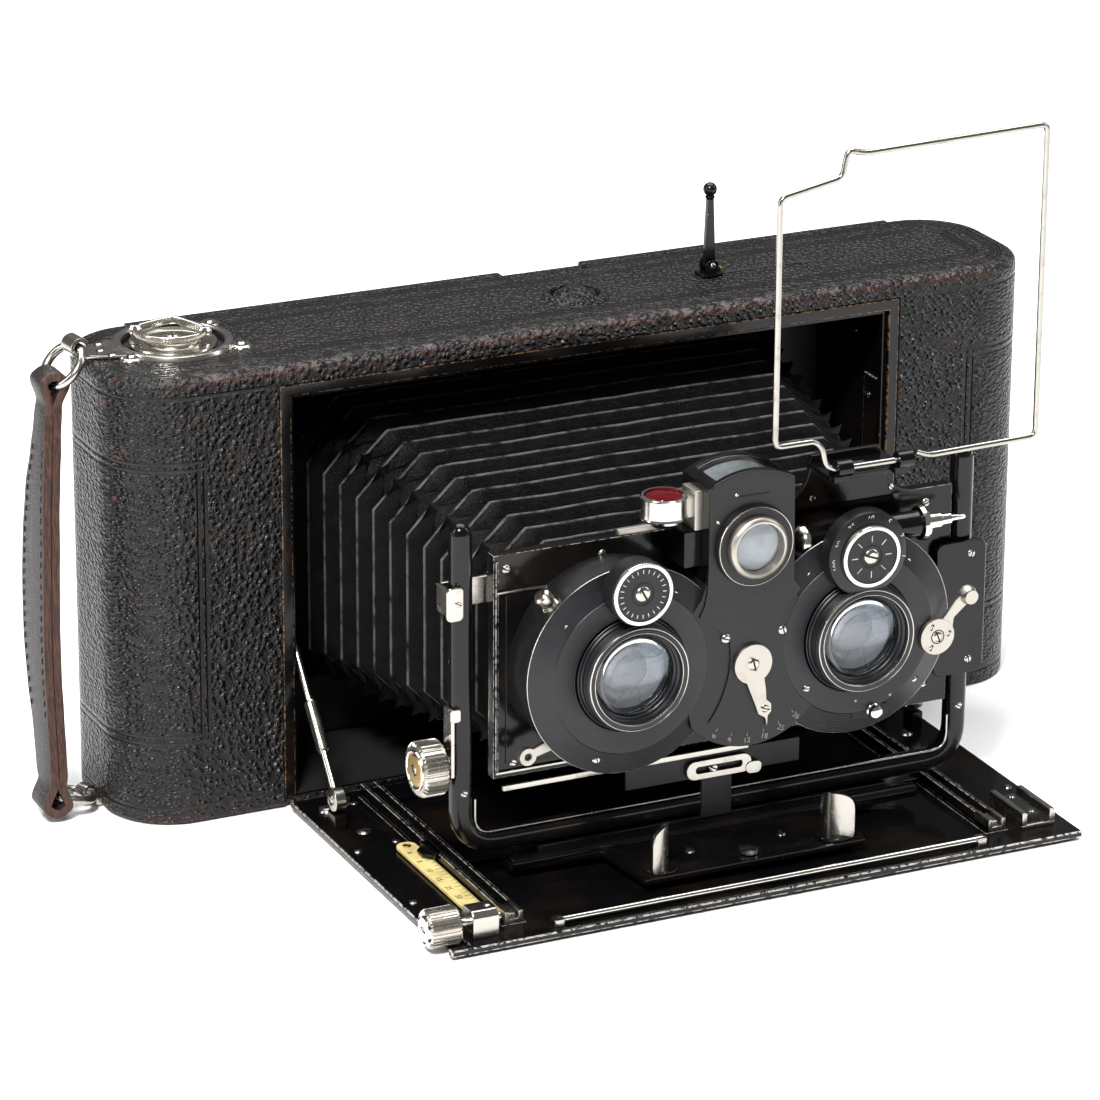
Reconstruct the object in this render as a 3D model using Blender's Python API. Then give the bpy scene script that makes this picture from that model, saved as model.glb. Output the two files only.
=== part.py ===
"""Folding roll-film stereo camera, opened for use.

+X is the right-hand side seen from the front, -Y is the front, +Z is up. The origin is the middle of
the body's underside, on the surface that the camera stands on. Sizes are written in millimetres, and
add() turns them into metres.
"""

import math

import bpy
import bmesh
from mathutils import Matrix, Vector
from mathutils.geometry import tessellate_polygon

MM = 0.001
GAP = 0.3

# Body: a flat box with round ends that holds the spools, the film gate and the bellows' rear end.
BODY_LENGTH = 246.0
BODY_DEPTH = 47.0
BODY_HEIGHT = 112.0
END_RADIUS = 17.0
WALL = 3.0
PLATE = 2.2
OPENING_HALF = 83.0
OPENING_TOP = 107.7
FRAME_BAR = 3.0
FRONT = -BODY_DEPTH / 2
BACK_PANEL_HALF = 104.0
BACK_PANEL_THICK = 3.0
NOTCH = (-5.0, 17.0)
TRIPOD_HOLE = (0.0, -13.0)

# Film path.
SPOOL_X = 99.0
SPOOL_Y = -1.0
SPOOL_FLANGE = 11.5
SPOOL_CORE = 5.5
GATE_Y = (10.3, 12.0)
GATE_HALF = 78.0
IMAGE_HALF_HEIGHT = 38.0

# Bed, hinged at the foot of the opening.
BED_HALF = 82.6
BED_LENGTH = 96.5
BED_Z = (0.1, 2.3)
HINGE_Y = -24.1
HINGE_Z = 1.2
RAIL_X = 63.5
RAIL_HALF = 2.2
RAIL_Z = (2.6, 5.4)
STRUT_X = 78.4
STRUT_FOOT = (-44.5, 9.6)
STRUT_TOP = (-15.6, 44.6)
KNOB_Y = -113.5
KNOB_Z = 5.6

# Standard: U-shaped frame that carries the lens board.
STANDARD_Y = -87.0
ARM_OUT = 68.0
ARM_IN = 62.6
ARM_TOP = 92.0
U_BOTTOM = 9.6
U_BAR = 5.4
BOARD = (-57.6, 28.0, 62.0, 83.0)
BOARD_Y = (-88.5, -85.5)
GRIP_X = 22.8
GRIP_Y = -107.0

# Shutter: two lens stations side by side.
LENS_X = 29.5
LENS_Z = 55.0
PLATE_RADIUS = 25.3
CASE_RADIUS = 24.3
CASE_Y = (-100.0, -88.8)
FACE_Y = (-103.0, -100.3)
BARREL_FRONT = -107.5
BARREL_RADIUS = 13.2
GLASS_RADIUS = 10.2
DIAL_Z = 76.4
DIAL_RADIUS = 7.4
FINDER_HALF = 10.9
FINDER_Z = 81.6
TUBE_Y = -95.8
TUBE_Z = 77.4
TUBE_RADIUS = 3.4
WIRE_Y = -103.0
WIRE_Z = 97.0
WIRE_RADIUS = 0.75
BELLOWS_REAR = (10.0, 69.0, 17.0, 93.0)
BELLOWS_FRONT = (-85.2, 54.0, 28.0, 82.0)

# Carrying strap rings, winding key, sight and the shutter's small controls.
RING_RADIUS = 5.6
# Each strap ring: the eye it hangs in, its slope downwards and its swing forwards, in degrees.
TOP_RING = ((-123.6, 4.0, 114.8), 48.0, 14.0)
FOOT_RING = ((-126.0, -1.0, 2.7), -14.0, 24.0)
# The strap from top to bottom: (x, z, middle y, half width).
STRAP_ROUTE = ((-131.0, 104.0, 1.8, 3.4), (-132.0, 97.0, 1.5, 3.8), (-132.8, 90.0, 1.2, 4.8),
               (-133.6, 80.5, 1.6, 6.2), (-134.2, 66.0, 2.2, 7.3), (-134.5, 55.5, 2.4, 7.5),
               (-134.7, 43.0, 2.2, 7.3), (-134.8, 30.5, 0.6, 6.6), (-135.0, 21.0, -1.8, 5.6),
               (-135.4, 12.0, -4.0, 5.2), (-135.6, 8.2, -5.2, 4.2))
STRAP_HALF_THICKNESS = 2.1
KEY_RADIUS = 9.2
KEY_TURN = math.radians(-28)
SIGHT = (41.7, 0.0)
SIGHT_PIVOT = 2.9
BUTTON = (4.0, -2.0)
RISE_Z = 33.0
COCKING = (50.6, 51.0)
POINTER = (1.5, 52.6)
RELEASE = (-39.4, 39.6)
SELECTOR = (34.2, 36.0)
LEVEL = (-18.4, -96.5)


def clear_scene():
    for obj in list(bpy.data.objects):
        bpy.data.objects.remove(obj, do_unlink=True)


def material(name, colour, metallic=0.0, roughness=0.5, transmission=0.0):
    made = bpy.data.materials.new(name)
    made.use_nodes = True
    shader = made.node_tree.nodes["Principled BSDF"]
    shader.inputs["Base Color"].default_value = (*colour, 1.0)
    shader.inputs["Metallic"].default_value = metallic
    shader.inputs["Roughness"].default_value = roughness
    shader.inputs["Transmission Weight"].default_value = transmission
    made.diffuse_color = (*colour, 1.0)
    return made


def add(name, bm, finish, origin=(0, 0, 0)):
    """Makes an object from a mesh drawn in millimetres, with its origin at the given place."""
    bmesh.ops.recalc_face_normals(bm, faces=bm.faces)
    bmesh.ops.translate(bm, verts=bm.verts, vec=-Vector(origin))
    bmesh.ops.scale(bm, verts=bm.verts, vec=(MM, MM, MM))
    mesh = bpy.data.meshes.new(name)
    bm.to_mesh(mesh)
    bm.free()
    mesh.shade_smooth()
    mesh.set_sharp_from_angle(angle=math.radians(38))
    mesh.materials.append(finish)
    obj = bpy.data.objects.new(name, mesh)
    obj.location = Vector(origin) * MM
    bpy.context.scene.collection.objects.link(obj)
    return obj


def combine(obj, bm, operation):
    """Joins a mesh to an object, or cuts it out, with a Boolean whose helper isn't rendered."""
    helper = add(f"{obj.name}_{operation.lower()}", bm, obj.data.materials[0])
    helper.hide_render = True
    helper.display_type = "WIRE"
    modifier = obj.modifiers.new(operation.title(), "BOOLEAN")
    modifier.object = helper
    modifier.operation = operation
    modifier.solver = "EXACT"


def join(obj, bm):
    combine(obj, bm, "UNION")


def cut(obj, bm):
    combine(obj, bm, "DIFFERENCE")


def spot(u, v, along, axis):
    """A point from two coordinates across an axis and one along it."""
    return {"X": (along, u, v), "Y": (u, along, v), "Z": (u, v, along)}[axis]


def prism(outline, low, high, axis="Z", holes=()):
    """An outline drawn across an axis and extruded along it, with holes right through."""
    bm = bmesh.new()
    loops = [list(outline)] + [list(hole) for hole in holes]
    flat = [point for loop in loops for point in loop]
    ends = [[bm.verts.new(spot(u, v, along, axis)) for u, v in flat] for along in (low, high)]
    for corners in tessellate_polygon([[Vector((u, v, 0)) for u, v in loop] for loop in loops]):
        for end in ends:
            bm.faces.new([end[i] for i in corners])
    start = 0
    for loop in loops:
        for i in range(len(loop)):
            a, b = start + i, start + (i + 1) % len(loop)
            bm.faces.new((ends[0][a], ends[0][b], ends[1][b], ends[1][a]))
        start += len(loop)
    return bm


def box(low, high):
    corners = [(low[0], low[1]), (high[0], low[1]), (high[0], high[1]), (low[0], high[1])]
    return prism(corners, low[2], high[2])


def arc(cx, cy, radius, start, end, steps):
    """Points along an arc, with angles in degrees."""
    turns = [math.radians(start + (end - start) * i / steps) for i in range(steps + 1)]
    return [(cx + radius * math.cos(t), cy + radius * math.sin(t)) for t in turns]


def circle(cx, cy, radius, steps=24):
    return arc(cx, cy, radius, 0, 360, steps)[:-1]


def rounded(x0, y0, x1, y1, radius, steps=4):
    return (
        arc(x1 - radius, y1 - radius, radius, 0, 90, steps)
        + arc(x0 + radius, y1 - radius, radius, 90, 180, steps)
        + arc(x0 + radius, y0 + radius, radius, 180, 270, steps)
        + arc(x1 - radius, y0 + radius, radius, 270, 360, steps)
    )


def lathe(profile, centre, axis="Z", steps=24, ring=False):
    """Turns (along, radius) points about an axis through centre; a ring's profile is a closed loop."""
    bm = bmesh.new()
    order = {"X": (1, 2, 0), "Y": (0, 2, 1), "Z": (0, 1, 2)}[axis]
    rows = []
    for along, radius in profile:
        row = []
        for k in range(steps if radius > 0 else 1):
            turn = 2 * math.pi * k / steps
            point = list(centre)
            point[order[0]] += radius * math.cos(turn)
            point[order[1]] += radius * math.sin(turn)
            point[order[2]] += along
            row.append(bm.verts.new(point))
        rows.append(row)
    following = rows[1:] + rows[:1] if ring else rows[1:]
    for a, b in zip(rows, following):
        for k in range(steps):
            j = (k + 1) % steps
            if len(a) == 1:
                bm.faces.new((a[0], b[k], b[j]))
            elif len(b) == 1:
                bm.faces.new((a[k], b[0], a[j]))
            else:
                bm.faces.new((a[k], b[k], b[j], a[j]))
    return bm


def disc(centre, axis, length, radius, steps=24, edge=0.0):
    """A solid round bar from centre along an axis, with an optional chamfer at its far end."""
    lean = math.copysign(edge, length)
    profile = [(0, 0), (0, radius), (length - lean, radius), (length, radius - edge), (length, 0)]
    if not edge:
        profile.pop(3)
        profile[2] = (length, radius)
    return lathe(profile, centre, axis, steps)


def torus(centre, axis, radius, wire, steps=20, sides=8):
    loop = [(wire * math.sin(a), radius + wire * math.cos(a))
            for a in (2 * math.pi * k / sides for k in range(sides))]
    return lathe(loop, centre, axis, steps, ring=True)


def skinned(sections):
    """A closed solid through a row of matching cross-sections."""
    bm = bmesh.new()
    rows = [[bm.verts.new(point) for point in section] for section in sections]
    count = len(rows[0])
    for a, b in zip(rows, rows[1:]):
        for k in range(count):
            j = (k + 1) % count
            bm.faces.new((a[k], b[k], b[j], a[j]))
    bm.faces.new(rows[0])
    bm.faces.new(rows[-1])
    return bm


def bent_wire(name, points, radius, finish):
    """A round wire through the given points, as a bevelled curve with filled ends."""
    curve = bpy.data.curves.new(name, "CURVE")
    curve.dimensions = "3D"
    curve.bevel_depth = radius * MM
    curve.bevel_resolution = 1
    curve.use_fill_caps = True
    spline = curve.splines.new("POLY")
    spline.points.add(len(points) - 1)
    for target, point in zip(spline.points, points):
        target.co = (*(Vector(point) * MM), 1)
    curve.materials.append(finish)
    obj = bpy.data.objects.new(name, curve)
    bpy.context.scene.collection.objects.link(obj)
    return obj


def set_origin(obj, origin):
    """Moves a curve's origin to a joint's axis and leaves its shape where it is."""
    shift = Vector(origin) * MM
    for spline in obj.data.splines:
        for point in spline.points:
            point.co = (*(Vector(point.co[:3]) - shift), 1)
    obj.location = shift


def body_outline(inset=0.0, rear=BODY_DEPTH / 2):
    """The body's plan with round front and rear corners, cut straight along its rear side."""
    half, radius = BODY_LENGTH / 2 - inset, END_RADIUS - inset
    return rounded(-half, FRONT + inset, half, rear, radius, 6)


def make_ends(leather):
    """The two rounded ends of the case, each a C-shaped wall with the front panel beside the opening."""
    half = BODY_LENGTH / 2
    middle = half - END_RADIUS
    inner = END_RADIUS - WALL
    stop = BODY_DEPTH / 2 - END_RADIUS
    for name, side in (("left_end_case", -1), ("right_end_case", 1)):
        outer = arc(middle, -stop, END_RADIUS, 270, 360, 6) + arc(middle, stop, END_RADIUS, 0, 90, 6)
        inside = arc(middle, stop, inner, 90, 0, 6) + arc(middle, -stop, inner, 360, 270, 6)
        front = [(OPENING_HALF + GAP, FRONT + WALL), (OPENING_HALF + GAP, FRONT)]
        rear = [(BACK_PANEL_HALF + GAP, BODY_DEPTH / 2),
                (BACK_PANEL_HALF + GAP, BODY_DEPTH / 2 - WALL)]
        outline = [(side * x, y) for x, y in outer + rear + inside + front]
        add(name, prism(outline, PLATE + GAP, BODY_HEIGHT - PLATE - GAP), leather)


def make_plates(leather):
    """Top and bottom plates, which stop short of the back panel that slides up behind them."""
    rear = BODY_DEPTH / 2 - BACK_PANEL_THICK - GAP
    for name, low, high in (
        ("bottom_plate", 0.0, PLATE),
        ("top_plate", BODY_HEIGHT - PLATE, BODY_HEIGHT),
    ):
        holes = []
        if name == "top_plate":
            holes = [circle(-SPOOL_X, SPOOL_Y + 5, 4.0, 12), circle(*BUTTON, 6.0, 16)]
        else:
            holes = [circle(*TRIPOD_HOLE, 4.8, 12)]
        plate = add(name, prism(body_outline(), low, high, holes=holes), leather)
        half = BACK_PANEL_HALF + GAP
        cut(plate, box((-half, rear, low - 2), (half, BODY_DEPTH, high + 2)))
        if name == "bottom_plate":
            cut(plate, box((-OPENING_HALF, FRONT - 1, -1), (OPENING_HALF, FRONT + 1.2, PLATE + 1)))
            x, y, z = FOOT_RING[0]
            join(plate, box((x + 1.7, y - 3, 0.2), (-BODY_LENGTH / 2 + 3, y + 3, 1.9)))
            join(plate, ring_eye(FOOT_RING))
        else:
            cut(plate, box((NOTCH[0], rear - 3.0, low - 1), (NOTCH[1], BODY_DEPTH, high + 1)))


def make_opening_frame(enamel):
    """The painted frame round the opening, with a strut guide bent back from each side."""
    top = OPENING_TOP - GAP
    half = OPENING_HALF
    outline = [(-half, PLATE + GAP), (-half, top), (half, top), (half, PLATE + GAP)]
    outline += [(half - FRAME_BAR, PLATE + GAP), (half - FRAME_BAR, top - FRAME_BAR)]
    outline += [(-half + FRAME_BAR, top - FRAME_BAR), (-half + FRAME_BAR, PLATE + GAP)]
    frame = add("opening_frame", prism(outline, FRONT, FRONT + 3.5, "Y"), enamel)
    for side in (-1, 1):
        x0, x1 = sorted((side * 80.2, side * 82.6))
        join(frame, box((x0, FRONT + 1.5, 48.0), (x1, FRONT + 12.5, 85.0)))


def make_back(leather, metal, ruby):
    """Back panel with its film window, and the catch in the finger notch above it."""
    y0, y1 = BODY_DEPTH / 2 - BACK_PANEL_THICK, BODY_DEPTH / 2
    half = BACK_PANEL_HALF
    panel = add("back_panel", prism(
        [(-half, 0.2), (half, 0.2), (half, BODY_HEIGHT), (-half, BODY_HEIGHT)], y0, y1, "Y",
        holes=[circle(-62, 56, 5.0, 16), rounded(NOTCH[0] + 1, 104, NOTCH[1] - 1, 109.5, 1.5, 2)],
    ), leather)
    cut(panel, box((NOTCH[0], y0 - 1, 111.0), (NOTCH[1], y1 + 1, 114)))
    add("film_window", lathe([(0.4, 0), (0.4, 4.6), (3.2, 4.6), (3.2, 0)], (-62, y0, 56), "Y", 16), ruby)
    catch = rounded(NOTCH[0] + 3, y0 - 3.0, NOTCH[1] - 3, y0 - GAP, 1.0, 2)
    add("back_catch", prism(catch, 104.0, 110.6), metal)


def make_film_path(enamel, wood):
    """Film gate with two image windows, the divider between the stereo pair, and two spools."""
    windows = []
    for side in (-1, 1):
        low, high = sorted((side * 2.0, side * 68.0))
        windows.append([(low, 18.0), (high, 18.0), (high, 18 + 2 * IMAGE_HALF_HEIGHT),
                        (low, 18 + 2 * IMAGE_HALF_HEIGHT)])
    outline = [(-GATE_HALF, PLATE + 1), (GATE_HALF, PLATE + 1), (GATE_HALF, 108), (-GATE_HALF, 108)]
    add("film_gate", prism(outline, *GATE_Y, "Y", holes=windows), enamel)
    add("stereo_divider", box((-0.6, -2.0, 22.0), (0.6, GATE_Y[0] - GAP, 88.0)), enamel)
    rings = [(0, 0), (0, SPOOL_FLANGE), (1.2, SPOOL_FLANGE), (1.2, SPOOL_CORE)]
    rings += [(95.8, SPOOL_CORE), (95.8, SPOOL_FLANGE), (97, SPOOL_FLANGE), (97, 0)]
    add("supply_spool", lathe(rings, (SPOOL_X, SPOOL_Y + 3, 7.0), "Z", 20), wood)
    take_up = (-SPOOL_X, SPOOL_Y + 5, 5.0)
    add("take_up_spool", lathe(rings, take_up, "Z", 20), wood, take_up)


def make_winding_key(metal):
    """Nickel ring with ears and a strap lug, the turning disc with its shaft, and the D-shaped key."""
    x, y, top = -SPOOL_X, SPOOL_Y + 5, BODY_HEIGHT
    ring = add("key_escutcheon", prism(
        circle(x, y, 14.6, 32), top + GAP, top + 1.5, holes=[circle(x, y, 12.4, 32)]), metal)
    for angle, reach in ((37, 16.6), (208, 14.6), (329, 16.6)):
        px, py = arc(x, y, reach, angle, angle, 1)[0]
        join(ring, prism(circle(px, py, 2.6, 10), top + GAP, top + 1.4))
    end = TOP_RING[0][0] + 1.7
    lug = [(end, y - 2), (x - 13.4, y - 6), (x - 13.4, y + 6), (end, y + 2)]
    join(ring, prism(lug, top + GAP, top + 1.45))
    join(ring, ring_eye(TOP_RING))
    profile = [(-4.8, 0), (-4.8, 3.4), (0.4, 3.4), (0.4, 10.6), (1.7, 10.6), (1.7, 0)]
    add("winding_disc", lathe(profile, (x, y, top), "Z", 28), metal, (x, y, top))
    outer = arc(0, 0, KEY_RADIUS, 180, 360, 12)
    hole = arc(0, -1.9, KEY_RADIUS - 2.9, 190, 350, 10)
    key = prism(outer, top + 2.0, top + 5.0, holes=[hole])
    bmesh.ops.rotate(key, cent=(0, 0, 0), matrix=Matrix.Rotation(KEY_TURN, 3, "Z"), verts=key.verts)
    bmesh.ops.translate(key, vec=(x, y + 1.5, 0), verts=key.verts)
    add("winding_key", key, metal, (x, y + 1.5, top + 3.5))


def hung(bm, ring):
    """Slopes and swings a shape about the eye that its ring hangs in."""
    eye, slope, swing = ring
    for angle, axis in ((-slope, "Y"), (swing, "Z")):
        bmesh.ops.rotate(bm, cent=eye, matrix=Matrix.Rotation(math.radians(angle), 3, axis), verts=bm.verts)
    return bm


def ring_eye(ring):
    x, y, z = ring[0]
    eye = prism(circle(x, z, 2.5, 16), y - 1.6, y + 1.6, "Y", holes=[circle(x, z, 1.7, 12)])
    return hung(eye, (ring[0], 0.0, ring[2]))


def make_strap(leather, metal):
    """Carrying strap between two rings on the left end; fingers go under it."""
    for name, ring in (("strap_ring_top", TOP_RING), ("strap_ring_bottom", FOOT_RING)):
        x, y, z = ring[0]
        add(name, hung(torus((x - RING_RADIUS, y, z), "Z", RING_RADIUS, 1.1, 20, 6), ring), metal)
    sections = []
    for i, (x, z, y, side) in enumerate(STRAP_ROUTE):
        before, after = STRAP_ROUTE[max(i - 1, 0)], STRAP_ROUTE[min(i + 1, len(STRAP_ROUTE) - 1)]
        along = Vector((after[0] - before[0], after[1] - before[1])).normalized()
        across = Vector((along.y, -along.x)) * STRAP_HALF_THICKNESS
        sections.append([(x - across.x, y - side, z - across.y), (x + across.x, y - side, z + across.y),
                         (x + across.x, y + side, z + across.y), (x - across.x, y + side, z - across.y)])
    strap = add("carrying_strap", skinned(sections), leather)
    for ring in (TOP_RING, FOOT_RING):
        far = bmesh.new()
        far.verts.new((ring[0][0] - 2 * RING_RADIUS, ring[0][1], ring[0][2]))
        x, y, z = [vert.co.copy() for vert in hung(far, ring).verts][0]
        far.free()
        loop = prism(circle(x, z, 4.4, 18), y - 2.6, y + 2.6, "Y", holes=[circle(x, z, 2.1, 14)])
        join(strap, hung(loop, ((x, y, z), 0.0, ring[2])))


def make_top_fittings(leather, enamel):
    """Bed release button and the folding rear sight, which lies along the top when not in use."""
    top = BODY_HEIGHT
    button = [(-4.0, 0), (-4.0, 5.6), (0.9, 5.6), (1.9, 4.6), (2.5, 2.6), (2.6, 0)]
    add("bed_release_button", lathe(button, (*BUTTON, top), "Z", 20), leather)
    sx, sy = SIGHT
    base = add("sight_base", box((sx - 2.6, sy - 2.6, top + 0.3), (sx + 2.6, sy + 2.6, top + 1.1)), enamel)
    for side in (-1, 1):
        low, high = sorted((sy + side * 1.3, sy + side * 2.5))
        join(base, box((sx - 1.6, low, top + 0.8), (sx + 1.6, high, top + 4.3)))
    outline = arc(sx, top + SIGHT_PIVOT, 1.5, 180, 360, 6) + [(sx + 0.8, top + 20.4)]
    outline += arc(sx, top + 22.2, 1.7, -50, 230, 10) + [(sx - 0.8, top + 20.4)]
    add("rear_sight", prism(outline, sy - 0.9, sy + 0.9, "Y"), enamel, (sx, sy, top + SIGHT_PIVOT))


def make_bed(enamel, metal, ivory):
    """Drop bed with its hinge pin, rails, distance scale, front rod, knob bearing and struts."""
    front = HINGE_Y - BED_LENGTH
    low, high = BED_Z
    rear = HINGE_Y - 1.6
    outline = [(-BED_HALF, front), (BED_HALF, front), (BED_HALF, rear), (-BED_HALF, rear)]
    outline += [(-BED_HALF, KNOB_Y + 5.0), (-77.4, KNOB_Y + 5.0)]
    outline += [(-77.4, KNOB_Y - 5.0), (-BED_HALF, KNOB_Y - 5.0)]
    bed = add("bed_panel", prism(outline, low, high), enamel, (0, HINGE_Y, HINGE_Z))
    for side in (-1, 1):
        x0, x1 = sorted((side * (STRUT_X - 1.5), side * (STRUT_X + 1.5)))
        post = STRUT_FOOT[0] - 2.4, STRUT_FOOT[0] + 2.4
        join(bed, box((x0, post[0], high - 0.6), (x1, post[1], STRUT_FOOT[1] - 3.4)))
    for x in (-50, 0, 50):
        join(bed, prism(circle(HINGE_Y, HINGE_Z, 1.1, 12), x - 14, x + 14, "X",
                        holes=[circle(HINGE_Y, HINGE_Z, 0.7, 10)]))
        join(bed, box((x - 14, HINGE_Y - 2.2, 0.6), (x + 14, HINGE_Y - 0.95, 1.8)))
    add("bed_hinge_pin", prism(circle(HINGE_Y, HINGE_Z, 0.5, 10), -78, 78, "X"), metal)
    add("distance_scale", prism(
        rounded(-71.2, -107.0, -66.2, -61.5, 2.4, 4), high + GAP, high + 1.1), ivory)
    add("front_rod", prism(circle(front + 3.6, high + 1.2, 0.8, 10), -55, 57, "X"), metal)
    block = add("focus_bearing", box((-75.6, KNOB_Y - 3.4, high + GAP), (-69.0, KNOB_Y + 3.4, 9.0)), metal)
    cut(block, prism(circle(KNOB_Y, KNOB_Z, 1.5, 12), -90, -60, "X"))
    add("bed_end_block", box((69.4, -114.5, high + GAP), (78.4, -98.5, 6.6)), metal)
    shaft = lathe([(-86.6, 0), (-86.6, 4.1), (-85.9, 4.6), (-78.4, 4.6), (-78.4, 1.2), (-67.6, 1.2),
                   (-67.6, 0)], (0, KNOB_Y, KNOB_Z), "X", 24)
    add("focus_knob", shaft, metal, (0, KNOB_Y, KNOB_Z))
    for name, side in (("strut_left", -1), ("strut_right", 1)):
        make_strut(name, side * STRUT_X, metal)


def make_strut(name, x, metal):
    """A telescoping strut: thin rod, sleeve and an eye on the bed's pivot."""
    foot, top = Vector(STRUT_FOOT), Vector(STRUT_TOP)
    along = (top - foot).normalized()
    across = Vector((-along.y, along.x))
    length = (top - foot).length

    def bar(start, end, half, thick):
        corners = [foot + along * start - across * half, foot + along * end - across * half,
                   foot + along * end + across * half, foot + along * start + across * half]
        return prism([tuple(c) for c in corners], x - thick, x + thick, "X")

    strut = add(name, bar(0, length, 1.0, 0.8), metal, (x, *STRUT_FOOT))
    join(strut, bar(12.0, 25.0, 1.7, 1.3))
    join(strut, prism(circle(*STRUT_FOOT, 3.0, 14), x - 1.6, x + 1.6, "X"))


def make_carriage(enamel):
    """Focusing carriage: two rails joined by a cross bar under the standard's foot."""
    rails = add("focus_carriage", box((-RAIL_X - RAIL_HALF, -112.6, RAIL_Z[0]),
                                      (-RAIL_X + RAIL_HALF, -29.0, RAIL_Z[1])), enamel)
    join(rails, box((RAIL_X - RAIL_HALF, -112.6, RAIL_Z[0]), (RAIL_X + RAIL_HALF, -29.0, RAIL_Z[1])))
    for y in (-76.0, -34.0):
        join(rails, box((-RAIL_X - 0.5, y - 3.0, RAIL_Z[0]), (RAIL_X + 0.5, y + 3.0, RAIL_Z[0] + 1.2)))


def make_standard(enamel, metal, cloth):
    """Foot with two finger grips, the U-shaped frame, its knob, the shift lock and the bellows."""
    y = STANDARD_Y
    foot = add("standard_foot", prism(
        [(-54, -90.5), (-54, -83.5), (54, -83.5), (54, -90.5), (33, -91.5), (30, -111.4), (-30, -111.4),
         (-33, -91.5)], 4.6, 6.2), enamel)
    join(foot, box((-54, -90.5, 5.0), (54, -88.0, 7.6)))
    join(foot, box((-46, y - 2.2, 5.0), (46, y + 2.2, U_BOTTOM - GAP)))
    for name, side in (("finger_grip_left", -1), ("finger_grip_right", 1)):
        shape = [(GRIP_Y - 4.2, 6.5), (GRIP_Y + 4.2, 6.5)]
        shape += arc(GRIP_Y, 13.6, 4.2, 0, 180, 8)
        x = side * GRIP_X
        add(name, prism(shape, x - 1.8, x + 1.8, "X"), metal, (x, GRIP_Y, 6.5))
    outer = [(ARM_OUT, ARM_TOP - 2.7)] + arc(ARM_OUT - 2.7, ARM_TOP - 2.7, 2.7, 0, 180, 6)
    right = arc(ARM_OUT - 10, U_BOTTOM + 10, 10, 270, 360, 5) + outer[1:]
    right += arc(ARM_IN - 4.6, U_BOTTOM + U_BAR + 4.6, 4.6, 360, 270, 4)
    outline = right + [(-x, z) for x, z in reversed(right)]
    add("u_frame", prism(outline, y - 2.5, y + 2.5, "Y"), enamel)
    knob = [(-77.0, 0), (-77.0, 6.0), (-76.4, 6.6), (-70.4, 6.6), (-70.4, 2.0), (-68.3, 2.0), (-68.3, 0)]
    add("rise_knob", lathe(knob, (0, y, RISE_Z), "X", 24), metal, (0, y, RISE_Z))
    lever = prism(rounded(-8.5, 19.6, 8.5, 24.2, 2.2, 4), -90.9, -89.9, "Y",
                  holes=[rounded(-6.2, 21.0, 6.2, 22.8, 0.8, 3)])
    add("shift_lock", lever, metal)
    add("bellows", bellows_tube(), cloth)


def bellows_tube():
    """The bellows' outer shape: a tapered square tube with cut corners and an open bore."""
    def section(y, half, low, high, inset):
        half, low, high = half - inset, low + inset, high - inset
        chamfer = 8.0
        return [(x, y, z) for x, z in (
            (half, low + chamfer), (half, high - chamfer), (half - chamfer, high),
            (-half + chamfer, high), (-half, high - chamfer), (-half, low + chamfer),
            (-half + chamfer, low), (half - chamfer, low))]

    bm = bmesh.new()
    loops = [section(*BELLOWS_REAR, 0), section(*BELLOWS_FRONT, 0), section(*BELLOWS_FRONT, 2.2),
             section(*BELLOWS_REAR, 2.2)]
    rows = [[bm.verts.new(point) for point in loop] for loop in loops]
    for a, b in zip(rows, rows[1:] + rows[:1]):
        for k in range(8):
            bm.faces.new((a[k], b[k], b[(k + 1) % 8], a[(k + 1) % 8]))
    return bm


def shutter_outline(radius, neck):
    """Two discs side by side, with the finder's neck above and the scale arc below between them."""
    right = arc(LENS_X, LENS_Z, radius, 222, 500, 22)
    left = [(-x, z) for x, z in reversed(right)]
    return [(neck, 71.3)] + [(-neck, 71.3)] + left + [(0.0, 31.5)] + right


def make_lens_board(enamel):
    """Lens board with its right-hand flange and the clip that holds it to the left arm."""
    x0, z0, x1, z1 = BOARD
    holes = [circle(side * LENS_X, LENS_Z, 12.0, 20) for side in (-1, 1)]
    board = add("lens_board", prism([(x0, z0), (x1, z0), (x1, z1), (x0, z1)], *BOARD_Y, "Y",
                                    holes=holes), enamel)
    join(board, box((x1 - 5, STANDARD_Y - 4.2, 35.0), (ARM_OUT + 5.5, STANDARD_Y - 2.8, 69.0)))
    join(board, box((x1 - 5, STANDARD_Y - 3.4, 36.0), (x1 - 1, STANDARD_Y - 1.0, 68.0)))
    join(board, box((x0, BOARD_Y[1] - 0.5, 70.0), (x0 + 3.0, STANDARD_Y + 4.4, 77.0)))
    join(board, box((-ARM_OUT - 1.8, STANDARD_Y + 2.9, 70.0), (x0 + 2.0, STANDARD_Y + 4.1, 77.0)))
    join(board, box((-ARM_OUT - 1.8, STANDARD_Y - 2.5, 70.0), (-ARM_OUT - 0.5, STANDARD_Y + 4.1, 77.0)))


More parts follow.
